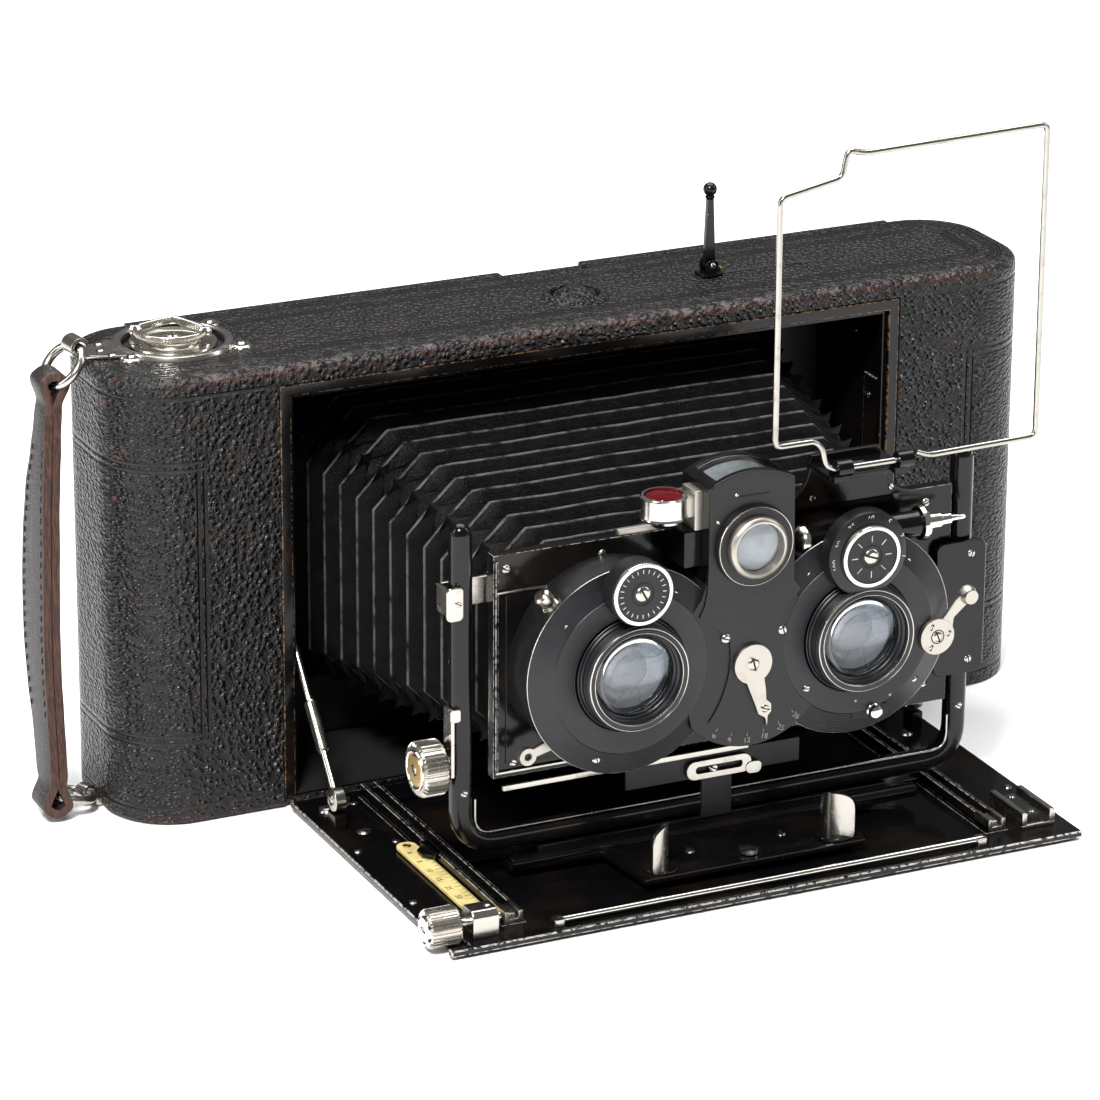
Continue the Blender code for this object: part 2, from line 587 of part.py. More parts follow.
def make_shutter(enamel, metal, glass):
    """Shutter case and face plate, lens barrels with their glasses, dials, levers and air cylinder."""
    bores = [circle(side * LENS_X, LENS_Z, BARREL_RADIUS + 0.35, 28) for side in (-1, 1)]
    case = add("shutter_case", prism(shutter_outline(CASE_RADIUS, 9.0), *CASE_Y, "Y", holes=bores), enamel)
    cut(case, box((12.0, -110, TUBE_Z - TUBE_RADIUS - 0.6), (56.0, -91.4, 90)))
    cut(case, box((-60.0, -96.6, 28.0), (-36.0, -92.9, 44.0)))
    nipple = disc((-LENS_X - 16.6, -96.5, LENS_Z + 16.6), "X", -5.2, 2.0, 12)
    bmesh.ops.rotate(nipple, cent=(-LENS_X - 16.6, -96.5, LENS_Z + 16.6),
                     matrix=Matrix.Rotation(math.radians(45), 3, "Y"), verts=nipple.verts)
    join(case, nipple)
    add("shutter_face", prism(shutter_outline(PLATE_RADIUS, 10.2), *FACE_Y, "Y", holes=bores), enamel)
    barrel = [(BARREL_FRONT, BARREL_RADIUS - 0.6), (-107.0, BARREL_RADIUS), (-89.0, BARREL_RADIUS),
              (-89.0, 11.0), (-79.0, 11.0), (-79.0, 8.0), (-100.6, 8.0), (-100.6, GLASS_RADIUS + GAP),
              (BARREL_FRONT, GLASS_RADIUS + 1.0)]
    lens = [(-106.3, 0), (-105.9, 5.0), (-104.6, GLASS_RADIUS), (-101.0, GLASS_RADIUS), (-101.0, 0)]
    for name, x in (("left", -LENS_X), ("right", LENS_X)):
        add(f"lens_barrel_{name}", lathe(barrel, (x, 0, LENS_Z), "Y", 28, ring=True), enamel)
        add(f"lens_{name}", lathe(lens, (x, 0, LENS_Z), "Y", 24), glass)
        dial = [(-109.2, 0), (-109.2, DIAL_RADIUS - 0.5), (-108.7, DIAL_RADIUS), (-103.3, DIAL_RADIUS),
                (-103.3, 0)]
        title = {"left": "cover_disc", "right": "speed_dial"}[name]
        add(title, lathe(dial, (x, 0, DIAL_Z), "Y", 24), enamel, (x, -103.3, DIAL_Z))
    x, z = COCKING
    tip = Vector((7.6, 9.0))
    side = Vector((-tip.y, tip.x)).normalized() * 1.4
    arm = [tuple(Vector((x, z)) + p) for p in (side * 2, -side * 2, tip - side, tip + side)]
    lever = add("cocking_lever", prism(circle(x, z, 4.3, 16), -104.6, -103.3, "Y"), metal, (x, -104, z))
    join(lever, prism(arm, -104.5, -103.4, "Y"))
    join(lever, lathe([(-107.2, 0), (-107.2, 1.4), (-106.2, 2.0), (-103.6, 2.0), (-103.6, 0)],
                      (x + tip.x, 0, z + tip.y), "Y", 12))
    x, z = POINTER
    pointer = add("aperture_pointer", prism(circle(x, z, 4.8, 18), -104.4, -103.3, "Y"), metal,
                  (x, -104, z))
    blade = [(x - 1.6, z - 3.5), (x + 3.4, z - 3.0), (x + 5.8, z - 12.6), (x + 5.2, z - 16.4),
             (x + 3.4, z - 12.4)]
    join(pointer, prism(blade, -104.3, -103.4, "Y"))
    x, z = RELEASE
    release = add("release_lever", prism(circle(x, z, 2.4, 12), -95.6, -94.0, "Y"), metal,
                  (x, -94.8, z))
    join(release, prism([(x + 0.5, z + 1.3), (x + 1.2, z - 1.6), (x - 11.6, z - 5.6), (x - 12.6, z - 2.8)],
                        -95.5, -94.1, "Y"))
    join(release, prism(circle(x - 12.6, z - 4.4, 2.3, 12), -95.6, -94.0, "Y"))
    x, z = SELECTOR
    add("mode_selector", lathe([(-105.6, 0), (-105.6, 1.3), (-103.3, 1.3), (-103.3, 0)],
                               (x, 0, z), "Y", 12), metal, (x, -103.3, z))
    tube = [(15.6, 0), (16.2, 2.2), (17.8, 3.6), (19.2, TUBE_RADIUS), (49.0, TUBE_RADIUS), (49.4, 4.0),
            (50.8, 4.0), (51.6, 1.6), (54.8, 1.6), (54.8, 0.8), (61.5, 0.8), (61.5, 0)]
    add("air_cylinder", lathe(tube, (0, TUBE_Y, TUBE_Z), "X", 18), enamel)


def make_finder(enamel, metal, glass, ruby):
    """Reflex finder between the lenses, with its spirit level, and the folding frame finder."""
    side, top = FINDER_HALF, 94.0
    crown = arc(0, top - 17.6, 21.0, 58.6, 121.4, 8)
    outline = [(-side, 72.5), (side, 72.5)] + crown
    shell = add("finder_housing", prism(outline, -105.0, -89.2, "Y"), enamel)
    cut(shell, prism(circle(0.4, FINDER_Z, 6.2, 20), -106, -97.0, "Y"))
    cut(shell, box((-8.2, -103.0, 84.0), (8.2, -92.0, 110)))
    cell = [(-106.6, 0), (-106.4, 3.0), (-106.0, 5.4), (-107.2, 5.8), (-107.2, 7.0), (-105.3, 7.2),
            (-105.3, 5.8), (-104.0, 5.8), (-104.0, 0)]
    add("finder_lens", lathe(cell, (0.4, 0, FINDER_Z), "Y", 24), glass)
    mirror = [(-102.6, 84.6), (-101.6, 84.3), (-93.0, 92.4), (-93.6, 93.2)]
    add("finder_mirror", prism(mirror, -7.6, 7.6, "X"), metal)
    window = arc(0, top - 17.6, 20.6, 67.2, 112.8, 6) + arc(0, top - 17.6, 19.2, 112.0, 68.0, 6)
    add("finder_window", prism(window, -102.6, -92.4, "Y"), glass)
    x, y = LEVEL
    cup = [(87.4, 0), (87.4, 3.2), (88.6, 4.6), (89.2, 5.3), (94.8, 5.3), (94.8, 4.4), (89.8, 4.4),
           (89.8, 0)]
    level = add("level_cup", lathe(cup, (x, y, 0), "Z", 20), metal)
    join(level, box((x + 4.6, y - 2.4, 88.6), (-side - GAP, y + 2.4, 94.4)))
    vial = [(90.1, 0), (90.1, 4.1), (94.4, 4.1), (95.0, 2.6), (95.2, 0)]
    add("level_vial", lathe(vial, (x, y, 0), "Z", 18), ruby)
    bracket = add("frame_bracket", prism(
        [(19.0, 83.3), (46.0, 83.3), (43.0, 94.4), (22.0, 94.4)], -90.2, -88.8, "Y"), enamel)
    join(bracket, box((22.0, WIRE_Y + 2.6, 93.2), (43.0, -88.8, 94.4)))
    for x in (24.5, 40.5):
        join(bracket, prism(circle(WIRE_Y, WIRE_Z, 2.0, 12), x - 1.6, x + 1.6, "X",
                            holes=[circle(WIRE_Y, WIRE_Z, 1.1, 10)]))
        join(bracket, box((x - 1.6, WIRE_Y + 0.4, 93.2), (x + 1.6, WIRE_Y + 3.6, 95.6)))
    make_wire_frame(metal)


def make_wire_frame(metal):
    """The frame finder's wire: hinged along its foot, stepped up to a taller right-hand part."""
    inner, step, outer = 6.6, 23.4, 75.6
    sill, shoulder, peak = 7.6, 67.0, 76.4
    points = [(42.8, 0), (22.2, 0), (20.4, 1.0), (19.8, 5.6), (17.4, sill), (inner + 1.2, sill)]
    points += [(inner, sill + 1.4), (inner, shoulder - 2), (inner + 1.8, shoulder)]
    points += [(step - 1.4, shoulder + 2.0), (step, shoulder + 3.6), (step + 0.2, peak - 1.0)]
    points += [(step + 1.4, peak), (step + 5.8, peak - 1.2), (outer - 1.6, peak), (outer, peak - 1.6)]
    points += [(outer, 1.8), (outer - 1.8, 0.2), (48.0, 0.0), (45.2, 1.2)]
    route = [(x, WIRE_Y, WIRE_Z + z) for x, z in points]
    wire = bent_wire("frame_finder_wire", route, WIRE_RADIUS, metal)
    set_origin(wire, (0, WIRE_Y, WIRE_Z))


LOOKS = {
    "leather": ((0.02, 0.02, 0.022), 0.0, 0.45),
    "enamel": ((0.012, 0.012, 0.014), 0.0, 0.2),
    "nickel": ((0.72, 0.69, 0.63), 1.0, 0.28),
    "wood": ((0.2, 0.11, 0.05), 0.0, 0.6),
    "cloth": ((0.015, 0.015, 0.017), 0.0, 0.5),
    "ivory": ((0.8, 0.7, 0.38), 0.0, 0.4),
    "ruby": ((0.5, 0.01, 0.03), 0.0, 0.1),
    "glass": ((0.85, 0.88, 0.9), 0.0, 0.03),
}


def main():
    clear_scene()
    look = {name: material(name, *values) for name, values in LOOKS.items()}
    make_ends(look["leather"])
    make_plates(look["leather"])
    make_opening_frame(look["enamel"])
    make_back(look["leather"], look["nickel"], look["ruby"])
    make_film_path(look["enamel"], look["wood"])
    make_winding_key(look["nickel"])
    make_strap(look["leather"], look["nickel"])
    make_top_fittings(look["leather"], look["enamel"])
    make_bed(look["enamel"], look["nickel"], look["ivory"])
    make_carriage(look["enamel"])
    make_standard(look["enamel"], look["nickel"], look["cloth"])
    make_lens_board(look["enamel"])
    make_shutter(look["enamel"], look["nickel"], look["glass"])
    make_finder(look["enamel"], look["nickel"], look["glass"], look["ruby"])


main()
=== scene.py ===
"""Looks, fine shapes, lights and camera for the folding stereo camera, on top of its CAD frame.

Shapes are drawn in millimetres in the CAD frame: +X is right, -Y is the front, +Z is up.
"""

import math

import bmesh
import bpy
from mathutils import Matrix, Vector, noise
from mathutils.geometry import tessellate_polygon


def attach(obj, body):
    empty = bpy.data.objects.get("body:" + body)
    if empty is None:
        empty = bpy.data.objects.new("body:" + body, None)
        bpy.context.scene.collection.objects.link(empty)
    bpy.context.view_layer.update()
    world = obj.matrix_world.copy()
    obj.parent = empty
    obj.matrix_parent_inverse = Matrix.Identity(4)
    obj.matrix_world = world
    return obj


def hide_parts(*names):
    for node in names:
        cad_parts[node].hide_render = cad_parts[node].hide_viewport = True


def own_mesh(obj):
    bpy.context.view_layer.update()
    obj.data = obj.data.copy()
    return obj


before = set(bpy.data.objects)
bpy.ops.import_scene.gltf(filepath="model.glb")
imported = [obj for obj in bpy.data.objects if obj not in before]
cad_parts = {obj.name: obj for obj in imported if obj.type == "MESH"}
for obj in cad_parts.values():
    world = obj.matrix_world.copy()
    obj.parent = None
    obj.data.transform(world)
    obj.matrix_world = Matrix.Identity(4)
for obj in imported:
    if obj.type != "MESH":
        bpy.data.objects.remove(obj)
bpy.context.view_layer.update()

MM = 0.001
SHARP = math.radians(38)                # edges sharper than this stay hard
BEVEL_FROM = math.radians(32)           # edges sharper than this get rounded
MIX_INPUTS, MIX_RESULT = (0, 6, 7), 2   # a colour Mix node's sockets: factor, A, B and result
AXES = {"X": (1, 2, 0), "Y": (0, 2, 1), "Z": (0, 1, 2)}   # two across the axis, one along it

# Body and opening.
HALF_LENGTH, HALF_DEPTH, HEIGHT, END_RADIUS = 123.0, 23.5, 112.0, 17.0
FRONT = -HALF_DEPTH
OPENING_HALF, OPENING_TOP = 83.0, 107.4
BACK_HALF, BACK_Y = 104.3, 20.2
WALL = 3.0
PLATE = 2.2
NOTCH = (-5.0, 17.0)
BUTTON = (4.0, -2.0)
TRIPOD = (0.0, -13.0)
SIGHT = (41.7, 0.0)
KEY = (-99.0, 4.0)
RING_RADIUS = 5.6
STRAP_PLY = 1.12                        # thickness of each of its two layers
STITCH_STEP = 2.6
TOP_RING = ((-123.6, 4.0, 114.8), 48.0, 14.0)   # eye, slope downwards, swing forwards
FOOT_RING = ((-126.0, -1.0, 2.7), -14.0, 24.0)
STRAP_ROUTE = ((-131.0, 104.0, 1.8, 3.4), (-132.0, 97.0, 1.5, 3.8), (-132.8, 90.0, 1.2, 4.8),
               (-133.6, 80.5, 1.6, 6.2), (-134.2, 66.0, 2.2, 7.3), (-134.5, 55.5, 2.4, 7.5),
               (-134.7, 43.0, 2.2, 7.3), (-134.8, 30.5, 0.6, 6.6), (-135.0, 21.0, -1.8, 5.6),
               (-135.4, 12.0, -4.0, 5.2), (-135.6, 8.2, -5.2, 4.2))   # x, z, y, half width

# Bed.
BED_HALF, BED_FRONT, BED_REAR = 82.6, -120.6, -25.7
BED_Z = (0.1, 2.3)
HINGE = (-24.1, 1.2)
KNOB = (-113.5, 5.6)
STRUT_X = 78.4
STRUT_FOOT, STRUT_TOP = (-44.5, 9.6), (-15.6, 44.6)
RAIL_X = 63.5

# Standard, bellows and front.
STANDARD_Y = -87.0
RISE_Z = 33.0
BELLOWS_ENDS, PLEATS, BELLOWS_SKIN = (9.6, -85.4), 13, 0.6
LENS_X, LENS_Z = 29.5, 55.0
DIAL_Z = 76.4
SCALE_CENTRE = (1.8, 52.4)              # of the aperture scale
FINDER_X, FINDER_Z = 1.3, 82.0
FINDER_CENTRE, CROWN_Z = 0.9, 79.2      # its middle, and the centre of its curved top
WIRE_Y, WIRE_Z = -103.0, 97.0


# ---------------------------------------------------------------- materials


class Look:
    """A Principled material in the making; each call adds a node and returns its output."""

    def __init__(self, name, colour, roughness=0.5, metallic=0.0, **fixed):
        self.material = bpy.data.materials.new(name)
        self.material.use_nodes = True
        self.tree = self.material.node_tree
        self.shader = self.tree.nodes["Principled BSDF"]
        self.give("Base Color", colour)
        self.give("Roughness", roughness)
        self.give("Metallic", metallic)
        for socket, value in fixed.items():
            self.give(socket.replace("_", " "), value)
        self.material.diffuse_color = (*colour, 1.0)

    def feed(self, socket, value):
        if isinstance(value, bpy.types.NodeSocket):
            self.tree.links.new(value, socket)
        elif isinstance(value, tuple) and len(value) == 3 and socket.type == "RGBA":
            socket.default_value = (*value, 1.0)
        else:
            socket.default_value = value

    def give(self, name, value):
        self.feed(self.shader.inputs[name], value)

    def node(self, kind, inputs, output, **settings):
        made = self.tree.nodes.new("ShaderNode" + kind)
        for key, value in settings.items():
            setattr(made, key, value)
        for key, value in inputs.items():
            self.feed(made.inputs[key], value)
        return made.outputs[output]

    def place(self, scale=(1, 1, 1)):
        """Object coordinates in millimetres, stretched by scale."""
        where = self.node("TexCoord", {}, "Object")
        size = tuple(1000.0 * s for s in scale)
        return self.node("Mapping", {"Vector": where, "Scale": size}, "Vector")

    def noise(self, where, scale, detail=3.0, rough=0.55):
        inputs = {"Vector": where, "Scale": scale, "Detail": detail, "Roughness": rough}
        return self.node("TexNoise", inputs, "Fac")

    def cells(self, where, scale, feature="F1"):
        return self.node("TexVoronoi", {"Vector": where, "Scale": scale}, "Distance", feature=feature)

    def math(self, operation, a, b=0.0):
        return self.node("Math", {0: a, 1: b}, "Value", operation=operation)

    def times(self, a, b):
        return self.math("MULTIPLY", a, b)

    def plus(self, a, b):
        return self.math("ADD", a, b)

    def minus(self, a, b):
        return self.math("SUBTRACT", a, b)

    def larger(self, a, b):
        return self.math("MAXIMUM", a, b)

    def ramp(self, value, low, high, start=0.0, end=1.0):
        inputs = {"Value": value, "From Min": low, "From Max": high, "To Min": start, "To Max": end}
        return self.node("MapRange", inputs, "Result", interpolation_type="SMOOTHSTEP")

    def mix(self, share, a, b):
        """A colour between a and b."""
        made = self.tree.nodes.new("ShaderNodeMix")
        made.data_type = "RGBA"
        for index, value in zip(MIX_INPUTS, (share, a, b)):
            self.feed(made.inputs[index], value)
        return made.outputs[MIX_RESULT]

    def blend(self, share, a, b):
        """A number between a and b."""
        return self.node("MapRange", {"Value": share, "To Min": a, "To Max": b}, "Result")

    def split(self, where):
        made = self.tree.nodes.new("ShaderNodeSeparateXYZ")
        self.feed(made.inputs[0], where)
        return tuple(made.outputs)

    def mark(self, name):
        return self.node("Attribute", {}, "Fac", attribute_name=name)

    def bump(self, height, depth):
        """A bump of this depth in millimetres."""
        inputs = {"Height": height, "Distance": depth * MM, "Strength": 1.0}
        self.give("Normal", self.node("Bump", inputs, "Normal"))

    def line(self, value, centre, half):
        """1 along a line where value equals centre, and 0 away from it."""
        away = self.math("ABSOLUTE", self.minus(value, centre))
        return self.ramp(away, half * 0.35, half, 1.0, 0.0)


def leather():
    """Black pebble grain: coarse on the front and back, finer with creases on the top and the round ends."""
    look = Look("body_leather", (0.012, 0.012, 0.014), Specular_IOR_Level=0.36)
    raw = look.place()
    x, y, z = look.split(raw)
    warp = look.node("TexNoise", {"Vector": raw, "Scale": 0.35, "Detail": 1.0}, "Color")
    shifted = look.node("VectorMath", {0: raw, 1: warp}, "Vector", operation="ADD")
    side = look.math("ABSOLUTE", x)
    normal = look.split(look.node("NewGeometry", {}, "Normal"))
    top = look.ramp(look.math("ABSOLUTE", normal[2]), 0.5, 0.9)
    worn_end = look.ramp(side, 103.0, 114.0)
    smooth = look.larger(top, worn_end)

    pebble = look.ramp(look.cells(shifted, 0.66), 0.72, 0.1)
    small = look.ramp(look.cells(shifted, 1.35), 0.75, 0.1)
    coarse = look.plus(look.times(pebble, 0.8), look.times(small, 0.2))
    long_way = look.node("Mapping", {"Vector": shifted, "Scale": (0.7, 0.7, 1.25)}, "Vector")
    fine = look.ramp(look.cells(long_way, 0.95), 0.75, 0.1)
    crease = look.noise(look.place((0.16, 0.16, 1.0)), 0.75, 4.0, 0.6)
    fine = look.plus(look.times(fine, 0.65), look.times(crease, 0.5))
    grain = look.blend(smooth, coarse, fine)
    pores = look.noise(raw, 3.2, 4.0)

    lines = tooling(look, y, z, side, top)
    height = look.plus(look.times(grain, look.minus(1.0, lines)),
                       look.times(pores, 0.1))
    height = look.minus(height, look.times(lines, 0.9))
    look.bump(height, 1.0)

    edge = look.times(look.ramp(z, 108.4, 110.6), look.ramp(y, -20.6, -23.0))
    foot = look.times(look.ramp(z, 5.0, 0.4), look.ramp(side, 84.0, 96.0))
    rim = look.larger(look.ramp(z, 109.6, 111.4), look.ramp(z, 2.4, 0.6))
    rim = look.times(rim, look.minus(1.0, top))
    broad = look.noise(raw, 0.09, 4.0)
    patch = look.noise(raw, 0.33, 5.0, 0.7)
    rub = look.times(look.larger(edge, look.times(foot, 0.7)),
                    look.ramp(patch, 0.4, 0.62))
    rub = look.larger(rub, look.times(rim, look.ramp(patch, 0.46, 0.62)))
    corner = look.larger(look.ramp(side, 112.0, 122.0), look.times(rim, 0.6))
    spots = look.times(look.ramp(look.noise(raw, 0.16, 6.0, 0.72), 0.61, 0.7), corner)
    tone = look.mix(grain, (0.0015, 0.0014, 0.0014), (0.007, 0.0068, 0.008))
    tone = look.mix(look.ramp(broad, 0.45, 0.72), tone, (0.012, 0.0085, 0.007))
    tone = look.mix(look.times(rub, 0.8), tone, (0.045, 0.016, 0.009))
    tone = look.mix(look.times(spots, 0.8), tone, (0.2, 0.062, 0.022))
    # Light grey along the rolled front edge of the top: a painted highlight, on leather that is also worn there.
    worn_edge_and_highlight = look.times(look.ramp(z, 110.4, 111.9), look.ramp(y, -14.0, -21.5))
    tone = look.mix(look.times(worn_edge_and_highlight, look.ramp(patch, 0.45, 0.66)), tone, (0.07, 0.066, 0.064))
    look.give("Base Color", tone)
    gloss = look.blend(grain, 0.5, 0.1)
    look.give("Roughness", look.blend(look.larger(look.times(top, 0.7), rub), gloss, 0.4))
    return look


def tooling(look, y, z, side, top):
    """Blind-tooled lines: borders near the edges, a panel round each end and two borders on the top."""
    lines = []
    upright = look.minus(1.0, top)
    beside = look.times(look.ramp(z, 20.4, 21.2), look.ramp(z, 92.0, 91.2))
    for centre in (102.2, 103.9):
        lines.append(look.times(look.line(side, centre, 0.62), beside))
    outside = look.ramp(side, 101.6, 102.1)
    for centre in (20.9, 22.6, 89.8, 91.5):
        lines.append(look.times(look.line(z, centre, 0.62), outside))
    for centre in (4.2, 107.6):
        lines.append(look.times(look.line(z, centre, 0.6), look.ramp(side, 85.6, 86.0)))
    walls = lines[0]
    for more in lines[1:]:
        walls = look.larger(walls, more)
    walls = look.times(walls, upright)

    # Distance inwards from the edge of the top, which has round corners.
    u = look.larger(look.minus(side, HALF_LENGTH - END_RADIUS), 0.0)
    v = look.larger(look.minus(look.math("ABSOLUTE", y), HALF_DEPTH - END_RADIUS), 0.0)
    reach = look.math("SQRT", look.plus(look.times(u, u), look.times(v, v)))
    inward = look.minus(END_RADIUS, reach)
    flat = look.line(inward, 4.2, 0.6)
    for centre in (5.9, 10.2, 11.9):
        flat = look.larger(flat, look.line(inward, centre, 0.6))
    return look.larger(walls, look.times(flat, top))


def strap_leather():
    look = Look("strap_leather", (0.014, 0.012, 0.012), Specular_IOR_Level=0.5)
    raw = look.place()
    grain = look.ramp(look.cells(raw, 0.9, "DISTANCE_TO_EDGE"), 0.0, 0.3)
    streak = look.noise(look.place((2.5, 1.0, 0.12)), 0.8, 4.0)
    tone = look.mix(look.ramp(streak, 0.4, 0.72), (0.007, 0.006, 0.006), (0.022, 0.014, 0.011))
    edge = look.times(look.mark("wear"), look.ramp(streak, 0.3, 0.5))
    look.give("Base Color", look.mix(edge, tone, (0.07, 0.03, 0.018)))
    look.give("Roughness", look.blend(streak, 0.38, 0.62))
    look.bump(look.plus(look.times(grain, 0.5), streak), 0.16)
    return look


def strap_flesh():
    """The brown cut edge of the strap."""
    look = Look("strap_flesh", (0.09, 0.035, 0.02))
    streak = look.noise(look.place((2.0, 2.0, 0.2)), 1.1, 5.0)
    look.give("Base Color", look.mix(look.ramp(streak, 0.35, 0.7), (0.022, 0.01, 0.007), (0.085, 0.034, 0.02)))
    look.give("Roughness", 0.62)
    look.bump(streak, 0.2)
    return look


def enamel(name="black_enamel", worn=(0.5, 0.48, 0.44), amount=0.1, base=(0.0022, 0.0021, 0.0025)):
    look = Look(name, base, Specular_IOR_Level=0.28, Coat_Weight=0.08, Coat_Roughness=0.05)
    raw = look.place()
    broad = look.noise(raw, 0.05, 3.0)
    patch = look.noise(raw, 0.8, 5.0, 0.7)
    chip = look.times(look.mark("wear"), look.ramp(patch, 0.68 - 0.2 * amount, 0.78 - 0.2 * amount))
    dust = look.ramp(look.noise(raw, 2.4, 3.0), 0.7, 0.79)
    tone = look.mix(look.ramp(broad, 0.45, 0.7), base, (0.008, 0.0055, 0.004))
    tone = look.mix(look.times(dust, 0.2), tone, (0.09, 0.085, 0.08))
    look.give("Base Color", look.mix(chip, tone, worn))
    look.give("Metallic", look.times(chip, 0.6))
    smear = look.noise(look.place((0.3, 1.0, 1.0)), 0.25, 4.0)
    look.give("Roughness", look.plus(look.blend(smear, 0.08, 0.26), look.times(chip, 0.25)))
    look.bump(look.noise(raw, 0.45, 2.0), 0.03)
    return look


def satin(name, base, roughness, turned=False):
    look = Look(name, base, roughness, Specular_IOR_Level=0.4)
    raw = look.place()
    fine = look.noise(raw, 6.0, 3.0)
    patch = look.noise(raw, 0.3, 4.0)
    look.give("Base Color", look.mix(look.ramp(patch, 0.4, 0.75), base, tuple(1.6 * c for c in base)))
    look.give("Roughness", look.blend(patch, roughness - 0.06, roughness + 0.1))
    if not turned:
        look.bump(look.plus(fine, look.times(patch, 0.4)), 0.012)
        return look
    # Fine lathe marks round each lens.
    x, _, z = look.split(raw)
    u = look.minus(look.math("ABSOLUTE", x), LENS_X)
    v = look.minus(z, LENS_Z)
    reach = look.math("SQRT", look.plus(look.times(u, u), look.times(v, v)))
    marks = look.math("SINE", look.times(reach, 2 * math.pi / 0.42))
    look.bump(look.plus(look.times(marks, 0.5), fine), 0.026)
    return look


def nickel(name="nickel", base=(0.5, 0.475, 0.43), roughness=0.22, tarnish=(0.3, 0.26, 0.21)):
    look = Look(name, base, roughness, 1.0)
    raw = look.place()
    patch = look.noise(raw, 0.22, 5.0, 0.6)
    brushed = look.noise(look.place((0.35, 1.0, 4.0)), 1.4, 3.0)
    stain = look.ramp(patch, 0.5, 0.75)
    tone = look.mix(look.times(stain, 0.5), base, tarnish)
    pit = look.ramp(look.noise(raw, 2.2, 3.0), 0.7, 0.8)
    look.give("Base Color", look.mix(look.times(pit, 0.35), tone, (0.16, 0.12, 0.08)))
    rough = look.blend(stain, roughness, roughness + 0.14)
    look.give("Roughness", look.plus(rough, look.times(pit, 0.15)))
    look.bump(look.plus(look.times(brushed, 0.5), look.times(pit, -0.5)), 0.014)
    return look


def bellows_cloth():
    look = Look("bellows_cloth", (0.003, 0.003, 0.0034), Specular_IOR_Level=0.08)
    raw = look.place()
    weave = look.ramp(look.cells(raw, 1.7, "DISTANCE_TO_EDGE"), 0.0, 0.3)
    patch = look.noise(raw, 0.25, 5.0, 0.65)
    speck = look.ramp(look.noise(raw, 1.7, 3.0), 0.7, 0.76)
    crease = look.noise(look.place((0.06, 1.0, 1.0)), 0.9, 4.0)
    # Lighter ridges: ridge wear plus a painted highlight along each ridge.
    ridge = look.times(look.ramp(look.mark("wear"), 0.45, 1.0), look.ramp(patch, 0.3, 0.6))
    tone = look.mix(look.ramp(patch, 0.4, 0.72), (0.0012, 0.0012, 0.0015), (0.0035, 0.0034, 0.0037))
    tone = look.mix(look.times(speck, 0.2), tone, (0.06, 0.06, 0.06))
    look.give("Base Color", look.mix(look.times(ridge, 0.85), tone, (0.1, 0.098, 0.095)))
    look.give("Roughness", look.blend(patch, 0.38, 0.48))
    look.bump(look.plus(look.times(weave, 0.35), crease), 0.16)
    return look


def plain(name, base, roughness, metallic=0.0, grain=0.5, **fixed):
    """A finish with slight colour variation and a fine bump."""
    look = Look(name, base, roughness, metallic, **fixed)
    raw = look.place()
    patch = look.noise(raw, grain, 5.0, 0.65)
    dark = tuple(0.62 * c for c in base)
    look.give("Base Color", look.mix(look.ramp(patch, 0.38, 0.7), base, dark))
    look.give("Roughness", look.blend(patch, max(roughness - 0.08, 0.02), roughness + 0.14))
    look.bump(look.noise(raw, 4.0 * grain, 3.0), 0.02)
    return look


def glass(name, tint, roughness=0.02, bend=1.5, smudge=0.05):
    look = Look(name, tint, roughness, Transmission_Weight=1.0, IOR=bend)
    raw = look.place()
    haze = look.noise(raw, 0.35, 4.0)
    look.give("Roughness", look.blend(look.ramp(haze, 0.45, 0.75), roughness, roughness + smudge))
    look.bump(look.noise(raw, 0.2, 1.0), 0.004)
    return look


